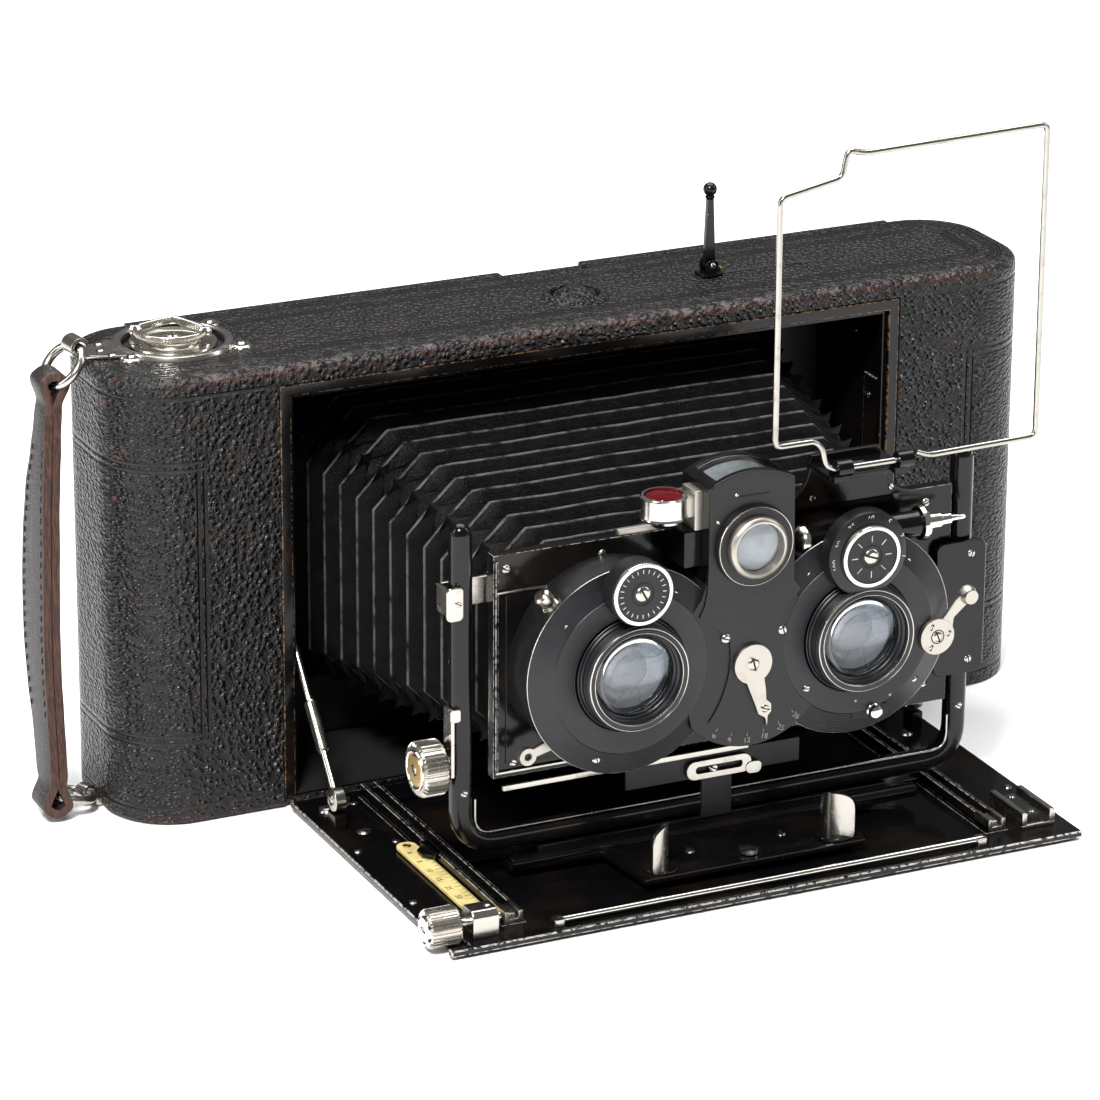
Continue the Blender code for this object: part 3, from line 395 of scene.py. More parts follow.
LOOKS = {
    "leather": leather(),
    "strap": strap_leather(),
    "flesh": strap_flesh(),
    "enamel": enamel(),
    "chipped": enamel("chipped_enamel", amount=1.25),
    "brassed": enamel("brassed_enamel", worn=(0.2, 0.11, 0.05), amount=1.0),
    "satin": satin("blue_black", (0.006, 0.0066, 0.008), 0.3, turned=True),
    "dull": satin("dull_black", (0.004, 0.004, 0.0045), 0.4),
    "inside": plain("inside_black", (0.0035, 0.0035, 0.004), 0.7, grain=0.3),
    "nickel": nickel(),
    "bright": nickel("bright_nickel", (0.74, 0.72, 0.67), 0.14, (0.5, 0.46, 0.39)),
    "silver": nickel("silver", (0.46, 0.43, 0.385), 0.36, (0.42, 0.37, 0.3)),
    "steel": nickel("steel_wire", (0.42, 0.4, 0.36), 0.2, (0.24, 0.2, 0.16)),
    "brass": nickel("brass", (0.55, 0.38, 0.16), 0.3, (0.25, 0.15, 0.06)),
    "cloth": bellows_cloth(),
    "ivory": plain("ivory", (0.78, 0.63, 0.26), 0.32, grain=0.12, Coat_Weight=0.3),
    "ink": plain("ink", (0.018, 0.014, 0.01), 0.55),
    "paint": plain("white_paint", (0.52, 0.51, 0.48), 0.5),
    "faded": plain("faded_paint", (0.2, 0.19, 0.18), 0.5),
    "screen": plain("ground_glass", (0.3, 0.32, 0.33), 0.22, grain=0.3, Coat_Weight=0.4),
    # Blue-grey for the disc seen through the middle of each lens: a painted reflection.
    "depth": plain("painted_lens_reflection", (0.2, 0.24, 0.29), 0.3, grain=0.25, Coat_Weight=0.5),
    "wood": plain("spool_wood", (0.16, 0.08, 0.035), 0.45, grain=0.25),
    "glass": glass("lens_glass", (0.93, 0.96, 1.0), 0.0, 1.52, 0.03),
    "pane": glass("finder_glass", (0.9, 0.93, 0.93), 0.02, 1.45, 0.1),
    "ruby": glass("ruby_glass", (0.62, 0.02, 0.07), 0.05, 1.5, 0.08),
    "rubyback": plain("ruby_backing", (0.3, 0.006, 0.03), 0.35, grain=0.4, Coat_Weight=0.6),
    "mirror": nickel("mirror", (0.82, 0.84, 0.85), 0.05, (0.6, 0.6, 0.58)),
    # Iris leaves lightened to blue-grey: their own colour plus a painted reflection.
    "iris": plain("iris", (0.12, 0.14, 0.17), 0.3, 0.4, grain=0.2),
    "frosted": plain("frosted", (0.42, 0.44, 0.44), 0.3, grain=0.12, Coat_Weight=0.8),
}
SLOTS = {look: slot for slot, looks in (
    ("body_leather", "leather"), ("strap_leather", "strap flesh"), ("bellows_cloth", "cloth"),
    ("black_enamel", "enamel chipped brassed satin dull inside paint faded iris"),
    ("nickel", "nickel bright silver steel brass"), ("ivory_scale", "ivory ink"), ("spool_wood", "wood"),
    ("lens_glass", "glass pane screen depth frosted"), ("ruby_glass", "ruby rubyback"), ("mirror", "mirror"),
) for look in looks.split()}


# ---------------------------------------------------------------- mesh tools


def spot(u, v, along, axis):
    """The point at (u, v) across an axis and at a height along it."""
    return {"X": (along, u, v), "Y": (u, along, v), "Z": (u, v, along)}[axis]


def arc(cx, cy, radius, start, end, steps):
    """Points on a circle from the start angle to the end angle, in degrees."""
    turns = [math.radians(start + (end - start) * i / steps) for i in range(steps + 1)]
    return [(cx + radius * math.cos(t), cy + radius * math.sin(t)) for t in turns]


def around(cx, cy, radius, angle):
    """The point on a circle at an angle in degrees."""
    return arc(cx, cy, radius, angle, angle, 1)[0]


def circle(cx, cy, radius, steps=48):
    return arc(cx, cy, radius, 0, 360, steps)[:-1]


def rounded(x0, y0, x1, y1, radius, steps=6):
    corners = ((x1, y1, 0), (x0, y1, 90), (x0, y0, 180), (x1, y0, 270))
    points = []
    for x, y, start in corners:
        cx = x - math.copysign(radius, x - (x0 + x1) / 2)
        cy = y - math.copysign(radius, y - (y0 + y1) / 2)
        points += arc(cx, cy, radius, start, start + 90, steps)
    return points


def skin(bm, rows, closed=False):
    """Joins a row of matching loops; unless it is closed, both ends are capped."""
    for a, b in zip(rows, rows[1:] + rows[:1] if closed else rows[1:]):
        for k in range(len(a)):
            j = (k + 1) % len(a)
            bm.faces.new((a[k], b[k], b[j], a[j]))
    if not closed:
        bm.faces.new(rows[0])
        bm.faces.new(rows[-1])
    return bm


def prism(outline, low, high, axis="Z", holes=()):
    """An outline, with holes if any, carried from low to high along an axis."""
    bm = bmesh.new()
    loops = [list(outline)] + [list(hole) for hole in holes]
    flat = [point for loop in loops for point in loop]
    ends = [[bm.verts.new(spot(u, v, along, axis)) for u, v in flat] for along in (low, high)]
    if holes:
        for corners in tessellate_polygon([[Vector((u, v, 0)) for u, v in loop] for loop in loops]):
            for end in ends:
                bm.faces.new([end[i] for i in corners])
    else:
        for end in ends:
            bm.faces.new(end)
    start = 0
    for loop in loops:
        for i in range(len(loop)):
            a, b = start + i, start + (i + 1) % len(loop)
            bm.faces.new((ends[0][a], ends[0][b], ends[1][b], ends[1][a]))
        start += len(loop)
    return bm


def box(low, high):
    corners = [(low[0], low[1]), (high[0], low[1]), (high[0], high[1]), (low[0], high[1])]
    return prism(corners, low[2], high[2])


def lathe(profile, centre, axis="Y", steps=64, ring=False):
    """Turns (along, radius) points about an axis; a ring's profile is a closed loop."""
    bm = bmesh.new()
    u, v, w = AXES[axis]
    rows = []
    for along, radius in profile:
        row = []
        for k in range(steps if radius > 0 else 1):
            turn = 2 * math.pi * k / steps
            point = list(centre)
            point[u] += radius * math.cos(turn)
            point[v] += radius * math.sin(turn)
            point[w] += along
            row.append(bm.verts.new(point))
        rows.append(row)
    for a, b in zip(rows, rows[1:] + rows[:1] if ring else rows[1:]):
        for k in range(steps):
            j = (k + 1) % steps
            if len(a) == 1 and len(b) == 1:
                continue
            if len(a) == 1:
                bm.faces.new((a[0], b[k], b[j]))
            elif len(b) == 1:
                bm.faces.new((a[k], b[0], a[j]))
            else:
                bm.faces.new((a[k], b[k], b[j], a[j]))
    return bm


def dome(centre, axis, base, height, radius, steps=32, flat=0.0):
    """A low dome standing on base; height may be negative to face the other way."""
    profile = [(base, 0), (base, radius)]
    for i in range(1, 7):
        turn = math.radians(90 * i / 6)
        profile.append((base + height * math.sin(turn), max(radius * math.cos(turn), flat)))
    profile.append((base + height, 0))
    return lathe([p for i, p in enumerate(profile) if not i or p != profile[i - 1]], centre, axis, steps)


def torus(centre, axis, radius, wire, steps=64, sides=14):
    loop = [(wire * math.sin(a), radius + wire * math.cos(a))
            for a in (2 * math.pi * k / sides for k in range(sides))]
    return lathe(loop, centre, axis, steps, ring=True)


def smoothed(points, steps=6, closed=False):
    """A Catmull-Rom curve through the points."""
    points = [Vector(p) for p in points]
    count = len(points)
    found = []
    for i in range(count if closed else count - 1):
        if closed:
            a, b, c, d = (points[(i + k) % count] for k in (-1, 0, 1, 2))
        else:
            b, c = points[i], points[i + 1]
            a = points[i - 1] if i else b * 2 - c
            d = points[i + 2] if i + 2 < count else c * 2 - b
        for s in range(steps):
            t = s / steps
            found.append(0.5 * (2 * b + (c - a) * t + (2 * a - 5 * b + 4 * c - d) * t * t
                                + (3 * b - a - 3 * c + d) * t ** 3))
    return found if closed else found + [points[-1]]


def sweep(path, section, up, closed=False, scale=None):
    """A section of (outward, sideways) offsets carried along a path; up is the sideways direction."""
    bm = bmesh.new()
    path, up = [Vector(p) for p in path], Vector(up)
    count = len(path)
    rows = []
    for i, here in enumerate(path):
        before = path[(i - 1) % count] if closed else path[max(i - 1, 0)]
        after = path[(i + 1) % count] if closed else path[min(i + 1, count - 1)]
        outward = (after - before).normalized().cross(up).normalized()
        grow = scale(i / (count - 1)) if scale else (1.0, 1.0)
        rows.append([bm.verts.new(here + outward * (a * grow[0]) + up * (b * grow[1])) for a, b in section])
    return skin(bm, rows, closed)


def wire(path, radius, up, sides=12, closed=False):
    return sweep(path, circle(0, 0, radius, sides), up, closed)


def turned(bm, degrees, axis, about):
    bmesh.ops.rotate(bm, cent=about, matrix=Matrix.Rotation(math.radians(degrees), 3, axis), verts=bm.verts)
    return bm


def moved(bm, vector):
    bmesh.ops.translate(bm, verts=bm.verts, vec=vector)
    return bm


def soften(bm, width, segments=2):
    """Rounds every sharp edge and marks the new faces as the ones that wear first."""
    bmesh.ops.recalc_face_normals(bm, faces=bm.faces)
    bmesh.ops.dissolve_limit(bm, angle_limit=math.radians(1.0), verts=bm.verts, edges=bm.edges)
    sharp = [e for e in bm.edges if len(e.link_faces) == 2 and e.calc_face_angle() > BEVEL_FROM]
    layer = bm.faces.layers.float.get("wear") or bm.faces.layers.float.new("wear")
    if sharp:
        made = bmesh.ops.bevel(bm, geom=sharp, offset=width, segments=segments, profile=0.5,
                               affect="EDGES", clamp_overlap=True)
        for face in made["faces"]:
            face[layer] = 1.0
    return bm


def knurl(centre, axis, base, top, radius, teeth, depth=0.35, edge=0.5):
    """A round knob with straight ribs along its axis."""
    bm = bmesh.new()
    u, v, w = AXES[axis]
    lean = math.copysign(edge, top - base)
    steps = teeth * 4
    rows = []
    for along, shrink in ((base, edge), (base + lean, 0), (top - lean, 0), (top, edge)):
        row = []
        for k in range(steps):
            turn = 2 * math.pi * k / steps
            reach = radius - shrink - (depth if k % 4 in (2, 3) else 0.0)
            point = list(centre)
            point[u] += reach * math.cos(turn)
            point[v] += reach * math.sin(turn)
            point[w] += along
            row.append(bm.verts.new(point))
        rows.append(row)
    return skin(bm, rows)


def screw(x, y, z, radius, angle, axis="Y", toward=-1, height=0.45):
    """A slotted screw head standing on the point: the head, and a dark bar across it that is painted shade where the
    slot would be cut.
    """
    centre = [x, y, z]
    head = dome(centre, axis, -0.25 * toward, toward * (height + 0.25), radius, 28, flat=radius * 0.55)
    # The slot is not cut: a dark bar on the head stands in for the slot's shade.
    half, thick, tip = radius * 0.92, radius * 0.13, toward * height
    low, high = sorted((tip * 0.3, tip + toward * 0.03))
    slot = {"Y": box((-half, low, -thick), (half, high, thick)),
            "Z": box((-half, -thick, low), (half, thick, high)),
            "X": box((low, -half, -thick), (high, half, thick))}[axis]
    turned(slot, angle, axis, (0, 0, 0))
    return [(head, "nickel"), (moved(slot, centre), "inside")]


def glyphs(text, size, frame_matrix, look="paint", depth=0.05):
    """Raised figures: text lies in its own X-Y plane and frame_matrix puts it in place."""
    curve = bpy.data.curves.new("glyphs", "FONT")
    curve.body = text
    curve.size = size
    curve.extrude = depth
    curve.align_x, curve.align_y = "CENTER", "CENTER"
    curve.resolution_u = 3
    holder = bpy.data.objects.new("glyphs", curve)
    bpy.context.scene.collection.objects.link(holder)
    bpy.context.view_layer.update()
    mesh = bpy.data.meshes.new_from_object(holder.evaluated_get(bpy.context.evaluated_depsgraph_get()))
    bm = bmesh.new()
    bm.from_mesh(mesh)
    for face in bm.faces:
        face.material_index = 0
    bpy.data.objects.remove(holder)
    bpy.data.curves.remove(curve)
    bpy.data.meshes.remove(mesh)
    bm.transform(frame_matrix)
    return bm, look


def facing_front(x, y, z, angle=0.0):
    """Puts figures on a face that looks towards -Y, turned by angle about that face's normal."""
    return Matrix.Translation((x, y, z)) @ Matrix.Rotation(math.radians(-angle), 4, "Y") @ Matrix.Rotation(
        math.radians(90), 4, "X")


def carve(name, solid, cutters):
    """Cuts closed meshes out of another and returns the result."""
    def holder(title, bm):
        bmesh.ops.recalc_face_normals(bm, faces=bm.faces)
        mesh = bpy.data.meshes.new(title)
        bm.to_mesh(mesh)
        bm.free()
        obj = bpy.data.objects.new(title, mesh)
        bpy.context.scene.collection.objects.link(obj)
        return obj

    target = holder(name + "_solid", solid)
    helpers = [holder(f"{name}_cut_{i}", bm) for i, bm in enumerate(cutters)]
    for helper in helpers:
        modifier = target.modifiers.new("Cut", "BOOLEAN")
        modifier.object, modifier.operation, modifier.solver = helper, "DIFFERENCE", "EXACT"
    bpy.context.view_layer.update()
    mesh = bpy.data.meshes.new_from_object(target.evaluated_get(bpy.context.evaluated_depsgraph_get()))
    bm = bmesh.new()
    bm.from_mesh(mesh)
    bpy.data.meshes.remove(mesh)
    for obj in [target] + helpers:
        old = obj.data
        bpy.data.objects.remove(obj)
        bpy.data.meshes.remove(old)
    return bm


def piece(name, body, parts, replaced=(), sharp=SHARP, weighted=True):
    """One object from several closed shapes, each a (mesh, look) or (mesh, look, edge rounding)."""
    whole = bmesh.new()
    whole.faces.layers.float.new("wear")
    names = []
    for part in parts:
        bm, look = part[0], part[1]
        if look not in names:
            names.append(look)
        if len(part) > 2:
            soften(bm, part[2])
        bmesh.ops.recalc_face_normals(bm, faces=bm.faces)
        if not bm.faces.layers.float.get("wear"):
            bm.faces.layers.float.new("wear")
        for face in bm.faces:
            face.material_index = names.index(look)
        mesh = bpy.data.meshes.new("part")
        bm.to_mesh(mesh)
        bm.free()
        whole.from_mesh(mesh)
        bpy.data.meshes.remove(mesh)
    return finish_piece(name, body, whole, names, replaced, sharp, weighted)


def finish_piece(name, body, bm, names, replaced, sharp=SHARP, weighted=True):
    bmesh.ops.scale(bm, verts=bm.verts, vec=(MM, MM, MM))
    mesh = bpy.data.meshes.new(name)
    bm.to_mesh(mesh)
    bm.free()
    mesh.shade_smooth()
    mesh.set_sharp_from_angle(angle=sharp)
    for look in names:
        mesh.materials.append(LOOKS[look].material)
    obj = bpy.data.objects.new(name, mesh)
    bpy.context.scene.collection.objects.link(obj)
    if weighted:
        modifier = obj.modifiers.new("Normals", "WEIGHTED_NORMAL")
        modifier.keep_sharp = True
    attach(obj, body)
    if replaced:
        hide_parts(*replaced)
    return obj


def stacked(loops):
    """A closed skin over a row of matching loops of points."""
    bm = bmesh.new()
    return skin(bm, [[bm.verts.new(point) for point in loop] for loop in loops])


def filleted(points, radius, steps=6):
    """A polyline whose corners are replaced by short curves."""
    points = [Vector(p) for p in points]
    found = [points[0]]
    for before, here, after in zip(points, points[1:], points[2:]):
        back, ahead = before - here, after - here
        reach = min(radius, back.length * 0.48, ahead.length * 0.48)
        start, end = here + back.normalized() * reach, here + ahead.normalized() * reach
        for k in range(steps + 1):
            t = k / steps
            found.append(start * (1 - t) ** 2 + here * 2 * t * (1 - t) + end * t * t)
    return found + [points[-1]]


# ---------------------------------------------------------------- body


def body_loop(inset, z, steps=14):
    x, y = HALF_LENGTH - inset, HALF_DEPTH - inset
    return [(u, v, z) for u, v in rounded(-x, -y, x, y, END_RADIUS - inset, steps)]


def make_body():
    loops = []
    for radius, foot in ((1.4, True), (2.4, False)):
        for k in range(8):
            turn = math.radians(90 * k / 7)
            if foot:
                loops.append(body_loop(radius * (1 - math.sin(turn)), radius * (1 - math.cos(turn))))
            else:
                loops.append(body_loop(radius * (1 - math.cos(turn)), HEIGHT - radius * (1 - math.sin(turn))))
    inner = rounded(-HALF_LENGTH + WALL, FRONT + WALL, HALF_LENGTH - WALL, BACK_Y + 0.3, END_RADIUS - WALL, 10)
    cutters = [
        prism(inner, PLATE, HEIGHT - PLATE),
        box((-BACK_HALF, BACK_Y, -2), (BACK_HALF, 30, HEIGHT + 3)),
        box((-OPENING_HALF - 0.2, -30, 2.0), (OPENING_HALF + 0.2, -19, OPENING_TOP + 0.2)),
        box((-OPENING_HALF, -30, -2), (OPENING_HALF, -22.3, 2.6)),
        prism(circle(*KEY, 12.5), HEIGHT - 1.2, HEIGHT + 3),
        prism(circle(*BUTTON, 6.0, 32), HEIGHT - 5, HEIGHT + 3),
        box((NOTCH[0], BACK_Y - 3, HEIGHT - 5), (NOTCH[1], 30, HEIGHT + 3)),
        prism(circle(*TRIPOD, 4.8, 32), -2, PLATE + 2),
    ]
    bm = carve("body", stacked(loops), cutters)
    bm.faces.layers.float.new("wear")
    for face in bm.faces:
        x, y, z = face.calc_center_median()
        u, v = abs(x) - HALF_LENGTH + END_RADIUS, abs(y) - HALF_DEPTH + END_RADIUS
        inwards = END_RADIUS - math.hypot(max(u, 0.0), max(v, 0.0)) - min(max(u, v), 0.0)
        hollow = inwards > 0.8 and 1.6 < z < HEIGHT - 2.1
        pit = math.hypot(x - KEY[0], y - KEY[1]) < 12.6 and z > 100
        face.material_index = 1 if hollow or pit else 0
    finish_piece("body_covering", "root", bm, ["leather", "inside"],
                 ("left_end_case", "right_end_case", "top_plate", "bottom_plate"), weighted=False)

    thread = [(0.2, 4.7), (0.2, 3.2), (2.6, 3.2), (2.6, 4.7)]
    ex, ey, ez = FOOT_RING[0]
    lug = [(box((ex + 1.7, ey - 3.0, 0.2), (-HALF_LENGTH + 3.0, ey + 3.0, 1.9)), "nickel", 0.3)]
    eye = prism(circle(ex, ez, 2.5, 32), ey - 1.6, ey + 1.6, "Y", [circle(ex, ez, 1.7, 28)])
    lug += [(turned(eye, FOOT_RING[2], "Z", FOOT_RING[0]), "nickel", 0.2)]
    lug += [(lathe(thread, (*TRIPOD, 0), "Z", 40, ring=True), "brass")]
    piece("underside_fittings", "root", lug)


def make_opening():
    half, top, bar = OPENING_HALF, OPENING_TOP, 3.0
    outline = [(-half, 2.5), (-half, top), (half, top), (half, 2.5), (half - bar, 2.5), (half - bar, top - bar)]
    outline += [(-half + bar, top - bar), (-half + bar, 2.5)]
    parts = [(prism(outline, FRONT + 0.05, FRONT + 1.6, "Y"), "brassed", 0.4)]
    lip = [(x * (half - 1.1) / half, z - (1.1 if z > 50 else 0)) for x, z in outline]
    parts.append((prism(lip, FRONT + 1.5, FRONT + 3.4, "Y"), "enamel", 0.3))
    for side in (-1, 1):
        low, high = sorted((side * 80.9, side * 82.6))
        parts.append((box((low, FRONT + 3.0, 3.0), (high, 9.6, 106.8)), "enamel", 0.2))
        low, high = sorted((side * 80.2, side * 81.2))
        parts.append((box((low, FRONT + 2.0, 48.0), (high, FRONT + 12.5, 85.0)), "chipped", 0.3))
        low, high = sorted((side * 79.7, side * 80.6))
        parts.append((box((low, FRONT + 1.8, 48.0), (high, FRONT + 2.6, 85.0)), "nickel", 0.2))
        toward = -side
        for y, z in ((-13.4, 79.4), (-13.4, 53.0), (4.0, 95.6), (-4.6, 93.6)):
            parts += screw(side * (80.2 if y < -10 else 80.9), y, z, 1.15, 35, "X", toward, 0.4)
    parts.append((box((-80.9, FRONT + 3.0, 104.6), (80.9, 9.6, 105.4)), "inside"))
    parts.append((box((-80.9, FRONT + 1.4, 2.5), (80.9, 9.6, 3.0)), "inside"))
    piece("opening_surround", "root", parts, ("opening_frame",))


def make_back():
    y0, y1 = BACK_Y + 0.3, HALF_DEPTH
    outline = [(-104, 0.2), (104, 0.2), (104, 112), (NOTCH[1], 112), (NOTCH[1], 111), (NOTCH[0], 111),
               (NOTCH[0], 112), (-104, 112)]
    holes = [circle(-62, 56, 5.0, 40), rounded(NOTCH[0] + 1, 104, NOTCH[1] - 1, 109.5, 1.5)]
    parts = [(prism(outline, y0, y1, "Y", holes), "leather", 0.45)]
    ring = [(y1 - 0.6, 4.8), (y1 - 0.6, 6.6), (y1 + 0.05, 6.4), (y1 + 0.05, 5.2)]
    parts.append((lathe(ring, (-62, 0, 56), "Y", 48, ring=True), "enamel"))
    for side in (-1, 1):
        for z in (10, 102):
            parts += screw(side * 97, y1 - 0.1, z, 1.7, 40 * side, "Y", 1, 0.35)
    piece("back_cover", "back", parts, ("back_panel",))
    window = lathe([(y0 + 0.4, 0), (y0 + 0.4, 4.6), (y1 - 0.9, 4.6), (y1 - 0.5, 3.0), (y1 - 0.4, 0)],
                   (-62, 0, 56), "Y", 40)
    piece("ruby_window", "back", [(window, "ruby"), (lathe([(y0 + 0.1, 0), (y0 + 0.1, 4.4), (y0 + 0.3, 4.4),
          (y0 + 0.3, 0)], (-62, 0, 56), "Y", 32), "rubyback")], ("film_window",))
    catch = [(prism(rounded(NOTCH[0] + 3, 17.5, NOTCH[1] - 3, 20.2, 1.0), 104.0, 110.6), "nickel", 0.4)]
    for k in range(9):
        x = NOTCH[0] + 5 + 1.5 * k
        catch.append((box((x, 17.9, 110.4), (x + 0.7, 19.8, 110.85)), "nickel", 0.15))
    piece("catch_slide", "catch", catch, ("back_catch",))


def make_film_path():
    outline = [(-78, 3.2), (78, 3.2), (78, 108), (-78, 108)]
    windows = [[(a, 18.0), (b, 18.0), (b, 94.0), (a, 94.0)] for a, b in ((-68, -2), (2, 68))]
    piece("gate_plate", "root", [(prism(outline, 10.3, 12.0, "Y", windows), "dull", 0.25)], ("film_gate",))
    profile = [(-2.0, 31.5), (10.0, 24.5), (10.0, 85.5), (-2.0, 78.5)]
    piece("light_divider", "root", [(prism(profile, -0.6, 0.6, "X"), "dull", 0.2)], ("stereo_divider",))
    for name, body, x, y, z, node in (("spare_spool", "root", 99, 2, 7, "supply_spool"),
                                      ("winding_spool", "winder", -99, 4, 5, "take_up_spool")):
        core = lathe([(1.0, 0), (1.0, 5.5), (96, 5.5), (96, 0)], (x, y, z), "Z", 40)
        parts = [(core, "wood")]
        for low in (0, 95.8):
            rim = [(low, 0), (low, 11.3), (low + 0.3, 11.5), (low + 0.9, 11.5), (low + 1.2, 11.3), (low + 1.2, 0)]
            parts.append((lathe(rim, (x, y, z), "Z", 48), "nickel"))
        piece(name, body, parts, (node,))


def hung(bm, ring):
    """Slopes and swings a shape about the eye that its ring hangs in."""
    eye, slope, swing = ring
    turned(bm, -slope, "Y", eye)
    return turned(bm, swing, "Z", eye)


def make_key():
    x, y = KEY
    top = HEIGHT
    ex, ey, ez = TOP_RING[0]
    band = [(0.0, 12.4), (0.9, 12.4), (1.3, 12.9), (1.35, 13.5), (1.1, 14.3), (0.3, 14.7), (0.0, 14.7)]
    parts = [(lathe(band, (x, y, top), "Z", 96, ring=True), "nickel")]
    for angle, reach in ((37, 16.4), (208, 15.2), (329, 16.4)):
        px, py = around(x, y, reach, angle)
        parts.append((dome((px, py, top), "Z", 0.05, 0.8, 2.7, 28, flat=1.9), "nickel"))
        parts += screw(px, py, top + 0.8, 1.35, angle, "Z", 1, 0.5)
    plate = [(ex + 1.4, ey - 3.0), (ex + 4.4, ey - 4.6), (x - 15.0, y - 6.6), (x - 12.9, y - 6.2)]
    plate += [(x - 12.9, y + 6.2), (x - 15.0, y + 6.6), (ex + 4.4, ey + 4.6), (ex + 1.4, ey + 3.0)]
    parts.append((prism(plate, top + 0.05, top + 1.0), "nickel", 0.3))
    roll = arc(0, 0, 2.5, -100, 175, 22) + arc(0, 0, 1.55, 175, -100, 22)
    eye = prism([(ex - u, ez + v) for u, v in roll], ey - 2.6, ey + 2.6, "Y")
    parts.append((hung(eye, (TOP_RING[0], 0.0, TOP_RING[2] * 0.5)), "nickel", 0.15))
    for dx, dy in ((-17.4, 4.2), (-18.6, -0.4), (-17.2, -4.6)):
        parts += screw(x + dx, y + dy, top + 0.9, 1.25, 25, "Z", 1, 0.45)
    piece("key_plate", "root", parts, ("key_escutcheon",))

    steps = [(-4.8, 0), (-4.8, 3.4), (0.1, 3.4), (0.1, 10.4), (0.4, 10.7), (0.8, 10.5), (0.9, 8.9), (0.6, 8.6),
             (0.6, 6.6), (1.0, 6.3), (1.1, 4.6), (1.4, 4.4), (1.5, 0)]
    parts = [(lathe(steps, (x, y, top), "Z", 80), "nickel")]
    parts += screw(x, y + 0.4, top + 1.5, 2.0, 75, "Z", 1, 0.8)
    piece("key_disc", "winder", parts, ("winding_disc",))

    def local(u, v, z):
        turn = math.radians(-28)
        return (x + u * math.cos(turn) - v * math.sin(turn), y + 1.5 + u * math.sin(turn) + v * math.cos(turn), z)

    bow = arc(0, 0, 8.4, 180, 360, 24)
    path = [local(u, v, top + 2.9) for u, v in bow]
    path += [local(*p) for p in ((7.2, 1.4, top + 3.1), (3.4, 3.0, top + 3.8), (0.2, 4.2, top + 4.4),
                                 (-3.2, 3.0, top + 3.8), (-7.2, 1.4, top + 3.1))]
    loop = sweep(path, rounded(-0.6, -0.95, 0.6, 0.95, 0.4, 4), (0, 0, 1), closed=True)
    parts = [(loop, "nickel")]
    for side in (-1, 1):
        px, py, pz = local(8.3 * side, 0, top + 2.7)
        knuckle = lathe([(-1.5, 0), (-1.5, 0.9), (-1.1, 1.25), (1.1, 1.25), (1.5, 0.9), (1.5, 0)], (0, 0, 0), "X", 24)
        parts.append((moved(turned(knuckle, -28, "Z", (0, 0, 0)), (px, py, pz)), "nickel"))
    piece("key_bow", "key", parts, ("winding_key",))


